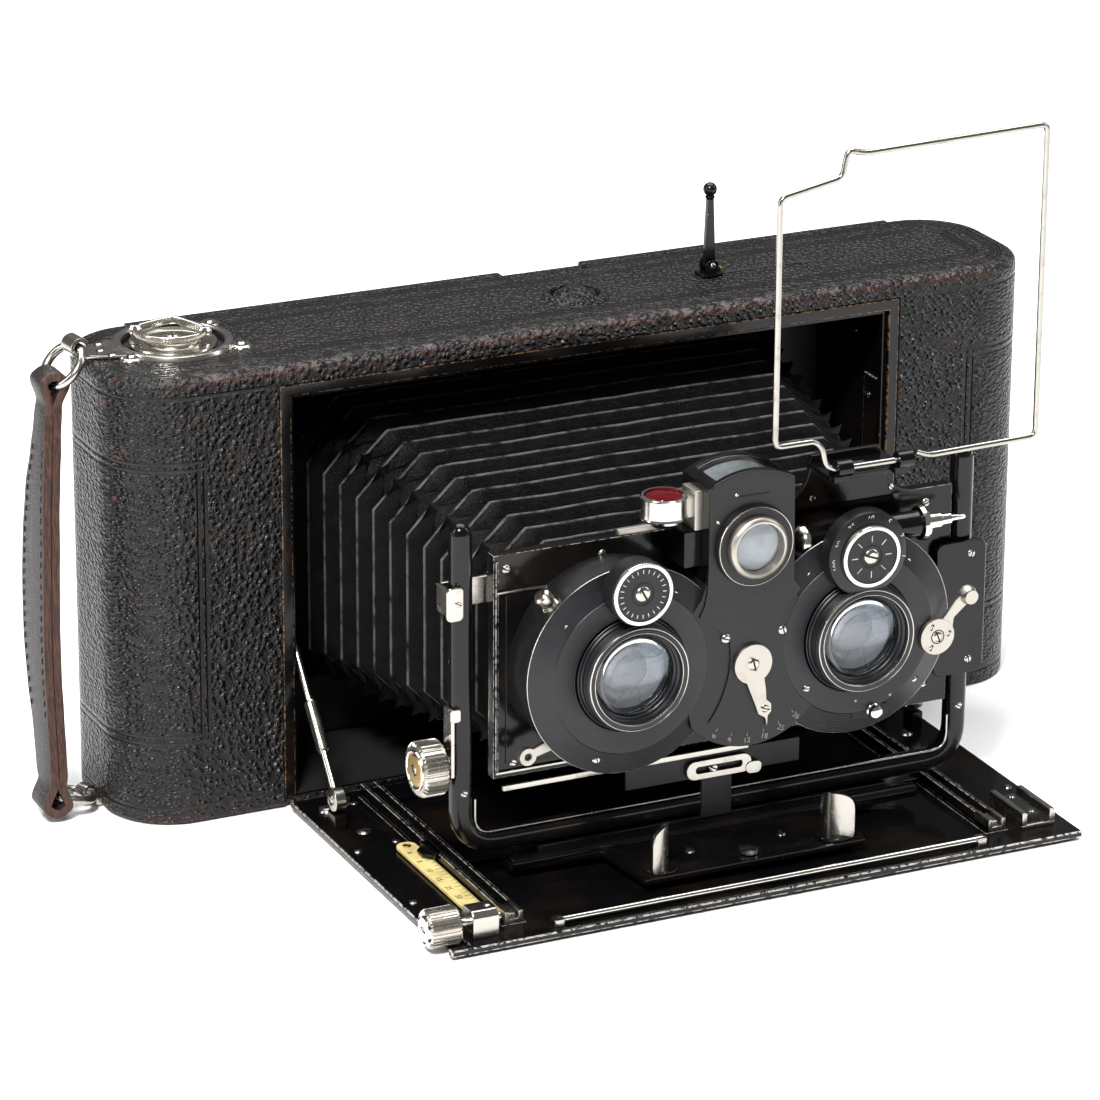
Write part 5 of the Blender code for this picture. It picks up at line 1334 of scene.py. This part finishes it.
def make_shutter():
    case = []
    for side in (-1, 1):
        drum = lathe([(-99.9, 0), (-99.9, 23.9), (-99.5, 24.3), (-88.7, 24.3), (-88.7, 0)],
                     (side * LENS_X, 0, LENS_Z), "Y", 96)
        cutters = [lathe([(-112, 0), (-112, 13.4), (-80, 13.4), (-80, 0)], (side * LENS_X, 0, LENS_Z), "Y", 64)]
        if side > 0:
            cutters.append(box((12.0, -110, 73.4), (56.0, -91.4, 90)))
        else:
            cutters.append(box((-60.0, -96.6, 28.0), (-36.0, -92.9, 44.0)))
        case.append((carve("drum", drum, cutters), "dull", 0.15))
    case.append((waist(-99.9, -88.9, 19.4), "dull", 0.3))
    centre = (-LENS_X - 16.6, -96.5, LENS_Z + 16.6)
    nipple = lathe([(0, 0), (0, 2.4), (-1.2, 2.4), (-1.2, 1.7), (-2.6, 1.7), (-2.6, 2.1), (-4.6, 2.1), (-5.2, 1.6),
                    (-5.2, 0.9), (-3.4, 0.9), (-3.4, 0)], centre, "X", 32)
    case.append((turned(nipple, 45, "Y", centre), "nickel"))
    piece("shutter_drums", "front", case, ("shutter_case",))

    parts = []
    for side in (-1, 1):
        rim = [(-100.2, 13.6), (-100.2, 25.2), (-100.6, 25.35), (-100.9, 25.2), (-102.75, 19.9), (-103.1, 19.6),
               (-103.1, 14.4), (-102.8, 14.0)]
        parts.append((lathe(rim, (side * LENS_X, 0, LENS_Z), "Y", 160, ring=True), "satin"))
        parts.append((torus((side * LENS_X, -100.75, LENS_Z), "Y", 25.25, 0.13, 160, 8), "nickel"))
    parts.append((waist(-102.9, -100.2, 20.8), "dull", 0.25))
    for k, text in enumerate(("6", "9", "12", "18", "25", "36")):
        angle = 240 + 13.6 * k
        x, z = around(*SCALE_CENTRE, 19.3, angle)
        parts.append(glyphs(text, 1.9, facing_front(x, -102.94, z, -(angle + 90)), "faded", 0.04))
        x, z = around(*SCALE_CENTRE, 17.75, angle)
        mark = box((-0.09, -102.98, -0.4), (0.09, -102.86, 0.4))
        parts.append((moved(turned(mark, 90 - angle, "Y", (0, 0, 0)), (x, 0, z)), "faded"))
    numbers = lathe([(-103.0, 0), (-107.9, 0), (-107.9, 7.9), (-106.9, 10.1), (-106.3, 10.35), (-103.0, 10.35)],
                    (LENS_X, 0, DIAL_Z), "Y", 96)
    parts.append((numbers, "dull"))
    for k, text in enumerate(("1", "2", "5", "10", "25", "50", "100")):
        angle = -10 + 33 * k
        x, z = around(LENS_X, DIAL_Z, 9.05, angle)
        frame_matrix = (Matrix.Translation((x, -107.46, z)) @ Matrix.Rotation(math.radians(90 - angle), 4, "Y")
                        @ Matrix.Rotation(math.radians(24), 4, "X") @ Matrix.Rotation(math.radians(90), 4, "X"))
        parts.append(glyphs(text, 1.9, frame_matrix, "paint", 0.04))
    for x, z, radius, turn in ((-18.1, 72.4, 1.1, 55), (16.9, 71.6, 1.15, 100), (42.9, 71.0, 1.1, 35),
                               (45.4, 40.9, 1.15, 160), (-37.6, 34.4, 1.1, 80), (16.3, 43.6, 1.1, 10),
                               (-11.6, 40.6, 1.1, 130), (-45.6, 68.6, 0.9, 0)):
        inner = math.hypot(x - math.copysign(LENS_X, x), z - LENS_Z)
        y = -102.6 if inner > 25 else -103.0 if inner < 20 else -101.9
        parts += screw(x, y, z, radius, turn, "Y", -1, 0.4)
    # Dark block in the face where the selector slot is: painted shade of the slot, which is not cut.
    slot = prism(rounded(28.6, 33.6, 38.6, 36.4, 1.2, 6), -103.0, -101.0, "Y")
    parts.append((slot, "inside"))
    for x in (29.4, 38.6):
        parts.append((dome((x, 0, 38.3), "Y", -103.05, -0.15, 0.35, 12), "paint"))
    piece("shutter_front", "front", parts, ("shutter_face",))

    plate = face_plate(-103.3, -102.0, circle(FINDER_X, FINDER_Z, 5.9, 48))
    parts = [(plate, "dull", 0.18)] + screw(-5.2, -103.25, 59.6, 1.3, 20) + screw(9.6, -103.25, 59.4, 1.3, 75)
    piece("face_plate", "front", parts)


def make_lenses():
    for name, x in (("left", -LENS_X), ("right", LENS_X)):
        barrel = [(-107.45, 11.4), (-107.45, 12.3), (-107.1, 12.75), (-106.6, 12.9), (-103.9, 12.95), (-103.6, 13.25),
                  (-88.9, 13.25), (-88.9, 11.0), (-79.1, 11.0), (-79.1, 9.4), (-101.4, 9.4), (-101.4, 9.95),
                  (-104.9, 9.95), (-105.2, 10.35), (-105.9, 10.4), (-106.2, 10.9), (-107.1, 11.1)]
        parts = [(lathe(barrel, (x, 0, LENS_Z), "Y", 120, ring=True), "satin")]
        parts.append((torus((x, -107.42, LENS_Z), "Y", 12.45, 0.17, 120, 8), "nickel"))
        parts.append((torus((x, -103.2, LENS_Z), "Y", 13.55, 0.3, 120, 10), "satin"))
        parts.append((torus((x, -107.35, LENS_Z), "Y", 11.25, 0.12, 120, 8), "nickel"))
        for y, radius in ((-106.7, 12.9), (-105.9, 12.9), (-105.1, 12.9)):
            parts.append((torus((x, y, LENS_Z), "Y", radius, 0.13, 96, 6), "satin"))
        for y in (-103.9, -102.9, -101.9):
            parts.append((torus((x, y, LENS_Z), "Y", 9.9, 0.2, 80, 6), "inside"))
        # The iris ring is lightened: a painted reflection on top of the leaves' own colour.
        iris = lathe([(-98.6, 4.4), (-98.6, 9.4), (-98.2, 9.4), (-98.2, 4.4)], (x, 0, LENS_Z), "Y", 64, ring=True)
        parts.append((iris, "iris"))
        for k in range(10):
            blade = box((0.0, -98.75, 4.3), (0.08, -98.6, 9.3))
            turned(blade, 24, "Y", (0, 0, 4.3))
            turned(blade, 36 * k, "Y", (0, 0, 0))
            parts.append((moved(blade, (x, 0, LENS_Z)), "inside"))
        # An opaque blue-grey disc behind the iris paints in the reflection seen in the middle of the lens.
        parts.append((lathe([(-96.4, 0), (-96.4, 9.3), (-96.0, 9.3), (-96.0, 0)], (x, 0, LENS_Z), "Y", 48), "depth"))
        parts.append((torus((x, -101.2, LENS_Z), "Y", 8.9, 0.3, 96, 8), "nickel"))
        piece(f"barrel_{name}", "front", parts, (f"lens_barrel_{name}",))
        front = [(-106.35, 0)] + [(-106.35 + 2.1 * (r / 9.8) ** 2, r) for r in (2, 4, 6, 8, 9.2, 9.75)]
        front += [(-103.4, 9.75), (-102.9, 9.4), (-102.2, 6.0), (-101.9, 3.0), (-101.8, 0)]
        rear = [(-100.9, 0), (-100.7, 4.0), (-100.0, 8.6), (-99.4, 8.6), (-99.2, 0)]
        cells = [(lathe(front, (x, 0, LENS_Z), "Y", 96), "glass"), (lathe(rear, (x, 0, LENS_Z), "Y", 64), "glass")]
        piece(f"objective_{name}", "front", cells, (f"lens_{name}",), sharp=math.radians(50), weighted=False)


def make_dials():
    for name, body, x, node in (("blank_disc", "front", -LENS_X, "cover_disc"),
                                ("speed_disc", "dial", LENS_X, "speed_dial")):
        profile = [(-103.35, 0), (-103.35, 7.55), (-108.5, 7.75), (-108.95, 7.4), (-108.95, 6.7), (-108.75, 6.5),
                   (-108.75, 0)]
        parts = [(lathe(profile, (x, 0, DIAL_Z), "Y", 96), "dull")]
        for k in range(72):
            bead = dome((0, 0, 0), "Y", -108.85, -0.32, 0.3, 6)
            u, v = around(x, DIAL_Z, 7.15, 5 * k)
            parts.append((moved(bead, (u, 0, v)), "bright"))
        band = [(-108.8, 6.55), (-109.1, 6.6), (-109.15, 6.85), (-109.0, 7.45), (-108.8, 7.5)]
        parts.append((lathe(band, (x, 0, DIAL_Z), "Y", 96, ring=True), "bright"))
        parts.append((torus((x, -108.78, DIAL_Z), "Y", 2.7, 0.16, 64, 8), "inside"))
        parts += screw(x, -108.8, DIAL_Z, 2.0, 60 if x < 0 else 20, "Y", -1, 0.6)
        for k in range(24 if x < 0 else 8):
            angle = 15 * k if x < 0 else 45 * k
            mark = box((-0.09, -108.83, 5.0 if x < 0 else 3.6), (0.09, -108.72, 5.9 if x < 0 else 5.2))
            turned(mark, angle, "Y", (0, 0, 0))
            parts.append((moved(mark, (x, 0, DIAL_Z)), "paint"))
        piece(name, body, parts, (node,))


def link(start, end, wide, narrow, low, high):
    """A tapered arm between two points of a face that looks towards -Y."""
    a, b = Vector(start), Vector(end)
    side = Vector((-(b - a).y, (b - a).x)).normalized()
    return prism([tuple(a + side * wide), tuple(a - side * wide), tuple(b - side * narrow), tuple(b + side * narrow)],
                 low, high, "Y")


def make_levers():
    x, z = 50.2, 51.6
    parts = [(prism(circle(x, z, 4.5, 56), -104.6, -103.3, "Y"), "silver", 0.2)]
    arm = [(x + 0.6, z + 3.6), (x + 4.0, z + 1.6), (x + 4.3, z + 4.2), (x + 8.6, z + 7.8), (x + 7.0, z + 10.4),
           (x + 4.6, z + 8.4), (x + 2.2, z + 5.2)]
    parts.append((prism(arm, -104.5, -103.5, "Y"), "silver", 0.2))
    parts.append((dome((x + 8.0, 0, z + 9.2), "Y", -103.6, -2.6, 2.35, 36, flat=1.7), "silver"))
    for du, dv in ((-1.6, 2.6), (3.0, 0.4), (-1.6, -2.6)):
        parts += screw(x + du, -104.55, z + dv, 0.85, 40 * du, "Y", -1, 0.3)
    parts.append((torus((x, -104.6, z), "Y", 1.65, 0.14, 36, 6), "inside"))
    parts += screw(x, -104.55, z, 1.45, 70, "Y", -1, 0.35)
    piece("cocking_arm", "cocker", parts, ("cocking_lever",))

    x, z = 1.5, 52.6
    parts = [(prism(circle(x, z, 4.9, 56), -104.4, -103.3, "Y"), "silver", 0.18)]
    blade = [(x - 1.9, z - 3.9), (x + 2.8, z - 2.9), (x + 3.4, z - 6.6), (x + 3.6, z - 9.4), (x + 4.9, z - 10.6),
             (x + 4.9, z - 12.6), (x + 4.0, z - 13.6), (x + 3.9, z - 16.3), (x + 3.4, z - 14.0), (x + 1.6, z - 12.8),
             (x + 0.8, z - 10.6)]
    parts.append((prism(blade, -104.3, -103.4, "Y"), "silver", 0.12))
    parts += screw(x, -104.35, z, 1.7, 75, "Y", -1, 0.5)
    parts += screw(x + 3.3, -104.25, z - 11.6, 1.15, 20, "Y", -1, 0.4)
    piece("aperture_arm", "pointer", parts, ("aperture_pointer",))

    x, z = -39.4, 39.6
    parts = [(prism(circle(x, z, 2.4, 32), -95.6, -94.0, "Y"), "silver", 0.25)]
    parts.append((link((x, z), (x - 11.0, z - 3.8), 2.0, 1.1, -95.5, -94.2), "silver", 0.25))
    eye = prism(circle(x - 12.6, z - 4.4, 2.1, 36), -95.6, -94.0, "Y", [circle(x - 12.6, z - 4.4, 0.95, 24)])
    parts.append((eye, "silver", 0.25))
    piece("release_arm", "releaser", parts, ("release_lever",))

    x, z = 34.2, 36.0
    pin = [(-105.2, 0), (-105.2, 1.1), (-104.9, 1.5), (-103.6, 1.5), (-103.3, 1.8), (-102.9, 1.8), (-102.9, 0)]
    piece("selector_pin", "selector", [(lathe(pin, (x, 0, z - 0.9), "Y", 28), "bright")], ("mode_selector",))

    profile = [(15.4, 0), (15.5, 1.2), (15.9, 2.4), (16.5, 3.3), (17.2, 3.8), (17.9, 4.1), (18.6, 4.1), (18.9, 3.7)]
    parts = [(lathe(profile + [(18.9, 0)], (0, -95.8, 77.4), "X", 48), "bright")]
    parts.append((lathe([(18.6, 0), (18.6, 3.2), (48.8, 3.2), (48.8, 0)], (0, -95.8, 77.4), "X", 48), "enamel"))
    flange = [(48.4, 0), (48.4, 3.4), (48.9, 4.1), (49.8, 4.3), (50.6, 3.9), (51.0, 2.3), (51.4, 1.9), (54.6, 1.8),
              (54.9, 1.4), (57.4, 1.3), (57.7, 0.75), (61.0, 0.7), (61.5, 0.4), (61.5, 0)]
    parts.append((lathe(flange, (0, -95.8, 77.4), "X", 40), "bright"))
    piece("air_brake", "front", parts, ("air_cylinder",))


# ---------------------------------------------------------------- finders


def make_finder():
    cx, side = FINDER_CENTRE, 11.0

    def arch(radius, start, end, steps):
        return [(cx + u, v) for u, v in arc(0, CROWN_Z, radius, start, end, steps)]

    shell = prism([(cx - side, 72.5), (cx + side, 72.5)] + arch(21.0, 58.4, 121.6, 24), -103.2, -89.2, "Y")
    cutters = [prism(circle(FINDER_X, FINDER_Z, 5.9, 48), -106, -97.0, "Y"),
               box((cx - 8.6, -102.0, 84.0), (cx + 8.6, -91.4, 110))]
    parts = [(carve("finder", shell, cutters), "enamel", 0.5)]
    lip = arch(21.15, 60, 120, 24) + arch(20.3, 120, 60, 24)
    parts.append((prism(lip, -103.7, -101.9, "Y"), "enamel", 0.25))
    boss = [(-103.2, 6.0), (-104.9, 6.0), (-105.0, 9.2), (-104.7, 9.7), (-103.2, 9.9)]
    parts.append((lathe(boss, (FINDER_X, 0, FINDER_Z), "Y", 96, ring=True), "dull"))
    parts.append((torus((FINDER_X, -104.95, FINDER_Z), "Y", 9.45, 0.15, 96, 8), "nickel"))
    parts.append((box((cx - 4.0, -103.5, 93.9), (cx + 4.4, -103.2, 94.2)), "inside"))
    for x, z in ((-7.9, 88.6), (-3.2, 94.6)):
        parts += screw(x, -103.25, z, 0.55, 30 * x, "Y", -1, 0.3)
    piece("finder_box", "front", parts, ("finder_housing",))

    bezel = [(-105.0, 5.85), (-105.0, 7.5), (-106.3, 7.55), (-106.9, 7.2), (-107.2, 6.6), (-107.1, 6.2),
             (-106.0, 5.9), (-104.6, 5.8), (-104.4, 5.85)]
    piece("finder_bezel", "front", [(lathe(bezel, (FINDER_X, 0, FINDER_Z), "Y", 96, ring=True), "silver")])
    lens = [(-106.6, 0), (-106.5, 2.0), (-106.2, 4.0), (-105.7, 5.75), (-104.4, 5.8), (-104.1, 0)]
    back = [(-103.6, 0), (-103.6, 5.7), (-103.2, 5.7), (-103.2, 0)]
    piece("finder_eye", "front", [(lathe(lens, (FINDER_X, 0, FINDER_Z), "Y", 64), "glass"),
          (lathe(back, (FINDER_X, 0, FINDER_Z), "Y", 48), "frosted")], ("finder_lens",), weighted=False)
    mirror = [(-102.6, 87.0), (-101.6, 86.7), (-93.0, 95.2), (-93.6, 96.0)]
    piece("finder_reflector", "front", [(prism(mirror, cx - 7.8, cx + 7.8, "X"), "mirror", 0.1)], ("finder_mirror",))
    glass_top = arch(20.7, 65.6, 114.4, 20) + arch(19.6, 114.0, 66.0, 20)
    ground = arch(18.9, 67.0, 113.0, 16) + arch(18.5, 113.0, 67.0, 16)
    piece("finder_top_glass", "front", [(prism(glass_top, -102.8, -91.5, "Y"), "pane", 0.15),
          (prism(ground, -102.0, -92.4, "Y"), "screen")], ("finder_window",))

    x, y = -18.4, -96.5
    cup = [(87.4, 0), (87.4, 2.8), (87.9, 3.3), (88.7, 4.4), (89.0, 5.3), (89.6, 5.6), (90.4, 5.3), (94.2, 5.3),
           (94.6, 5.55), (94.9, 5.2), (94.9, 4.7), (89.8, 4.6), (89.8, 0)]
    parts = [(lathe(cup, (x, y, 0), "Z", 64), "bright")]
    parts.append((box((x + 4.2, y - 2.3, 89.0), (-10.0, y + 2.3, 94.2)), "silver", 0.5))
    parts.append((box((-12.2, y - 3.4, 86.0), (-9.9, y + 3.4, 95.6)), "silver", 0.4))
    piece("level_holder", "front", parts, ("level_cup",))
    vial = [(89.9, 0), (89.9, 4.5), (94.2, 4.5), (94.8, 4.1), (95.1, 2.6), (95.2, 0)]
    parts = [(lathe(vial, (x, y, 0), "Z", 48), "ruby")]
    parts.append((lathe([(92.9, 0), (92.9, 4.4), (93.4, 4.4), (93.4, 0)], (x, y, 0), "Z", 40), "rubyback"))
    parts.append((torus((x, y, 95.02), "Z", 1.3, 0.1, 40, 6), "ink"))
    piece("level_glass", "front", parts, ("level_vial",))

    brace = [(-14.6, -99.6), (-9.9, -99.6), (-9.9, -88.9), (-14.6, -88.9)]
    parts = [(prism(brace, 77.0, 86.0), "enamel", 0.5)]
    parts.append((box((-27.0, -90.4, 83.9), (-14.2, -88.9, 85.4)), "silver", 0.3))
    piece("finder_brace", "front", parts)


def make_wire_finder():
    scoop = arc(51.0, 93.5, 9.4, 262, 175, 14)
    outline = [(19.0, 83.3), (49.6, 83.3)] + scoop + [(41.4, 96.2), (23.2, 96.2)] + arc(14.0, 93.4, 8.6, 8, -70, 14)
    parts = [(prism(outline, -90.2, -88.7, "Y"), "enamel", 0.3)]
    parts.append((box((22.4, WIRE_Y + 2.4, 93.2), (42.6, -88.8, 94.4)), "enamel", 0.3))
    parts.append((box((30.4, WIRE_Y + 3.6, 94.3), (34.6, -94.0, 94.75)), "inside", 0.1))
    for x in (24.5, 40.5):
        eye = prism(circle(WIRE_Y, WIRE_Z, 2.0, 28), x - 1.9, x + 1.9, "X", [circle(WIRE_Y, WIRE_Z, 1.0, 20)])
        parts.append((eye, "enamel", 0.15))
        parts.append((box((x - 1.9, WIRE_Y + 0.5, 93.2), (x + 1.9, WIRE_Y + 3.6, 95.9)), "enamel", 0.3))
    for x in (28.0, 37.0):
        parts += screw(x, -96.5, 94.3, 1.1, 8 * x, "Z", 1, 0.35)
    for x in (23.6, 44.4):
        parts += screw(x, -90.1, 85.4, 1.0, 5 * x, "Y", -1, 0.35)
    piece("wire_bracket", "front", parts, ("frame_bracket",))

    inner, step, outer = 6.6, 23.4, 75.6
    sill, shoulder, peak = 7.6, 67.0, 76.4
    route = [(42.8, 0), (22.2, 0), (19.8, 1.4), (18.8, 5.6), (17.0, sill), (inner, sill), (inner, shoulder)]
    route += [(step - 1.0, shoulder + 3.0), (step + 0.2, peak), (step + 4.4, peak - 1.3), (outer, peak), (outer, 0.6)]
    route += [(47.0, 0.0), (43.6, 1.4)]
    path = filleted([(x, WIRE_Y, WIRE_Z + z) for x, z in route], 1.9, 7)
    piece("wire_loop", "frame_finder", [(wire(path, 0.72, (0, 1, 0), 16), "steel")], ("frame_finder_wire",),
          weighted=False)


# ---------------------------------------------------------------- camera, floor and lights


def make_stage():
    bm = bmesh.new()
    side = 9.0
    bm.faces.new([bm.verts.new(p) for p in ((-side, -side, 0), (side, -side, 0), (side, side, 0), (-side, side, 0))])
    mesh = bpy.data.meshes.new("floor")
    bm.to_mesh(mesh)
    bm.free()
    floor = bpy.data.objects.new("floor", mesh)
    floor.location = (0, 0, -0.0002)
    look = Look("floor_paper", (0.93, 0.93, 0.93), 0.9, Specular_IOR_Level=0.1)
    fibre = look.noise(look.place(), 0.5, 3.0)
    look.give("Base Color", look.mix(fibre, (0.92, 0.92, 0.92), (0.94, 0.94, 0.94)))
    mesh.materials.append(look.material)
    bpy.context.scene.collection.objects.link(floor)

    world = bpy.data.worlds.new("studio")
    world.use_nodes = True
    world.node_tree.nodes["Background"].inputs["Color"].default_value = (1.0, 1.0, 1.0, 1.0)
    world.node_tree.nodes["Background"].inputs["Strength"].default_value = 0.16
    bpy.context.scene.world = world
    target = Vector((0, -0.04, 0.06))
    for name, place, size, watts in (
        ("key_light", (-0.75, -0.9, 1.35), (0.38, 0.3), 42.0),
        ("top_light", (0.2, 0.35, 1.55), (1.7, 1.3), 36.0),
        ("side_light", (1.3, -0.5, 0.9), (0.3, 1.0), 4.5),
        ("strip_light", (-1.25, 0.1, 0.55), (0.16, 0.8), 4.5),
    ):
        light = bpy.data.lights.new(name, "AREA")
        light.shape = "RECTANGLE"
        light.size, light.size_y = size
        light.energy = watts
        obj = bpy.data.objects.new(name, light)
        obj.location = place
        obj.rotation_mode = "QUATERNION"
        obj.rotation_quaternion = (target - Vector(place)).to_track_quat("-Z", "Y")
        bpy.context.scene.collection.objects.link(obj)


def make_camera():
    """The photo's view: how far away, how far to the side and how high was fitted to the body's corners."""
    azimuth, elevation, roll = (math.radians(a) for a in (-25.4, 20.45, 0.33))
    distance, aside, lift = 1321.8, -1.0, 42.8
    back = Vector((math.sin(azimuth) * math.cos(elevation), -math.cos(azimuth) * math.cos(elevation),
                   math.sin(elevation)))
    level = Vector((math.cos(azimuth), math.sin(azimuth), 0))
    upright = back.cross(level)
    right = level * math.cos(roll) + upright * math.sin(roll)
    up = upright * math.cos(roll) - level * math.sin(roll)
    data = bpy.data.cameras.new("camera")
    data.sensor_width = 36.0
    data.lens = 171.65
    data.clip_start, data.clip_end = 0.05, 50.0
    camera = bpy.data.objects.new("camera", data)
    place = (back * distance + right * aside + up * lift) * MM
    camera.matrix_world = Matrix((right, up, back)).transposed().to_4x4()
    camera.location = place
    bpy.context.scene.collection.objects.link(camera)
    bpy.context.scene.camera = camera


make_camera()
make_stage()
make_body()
make_opening()
make_back()
make_film_path()
make_key()
make_strap()
make_top_fittings()
make_bed()
make_scale()
make_struts()
make_carriage()
make_standard()
make_bellows()
make_board()
make_shutter()
make_lenses()
make_dials()
make_levers()
make_finder()
make_wire_finder()
bpy.context.scene.view_settings.view_transform = "Standard"
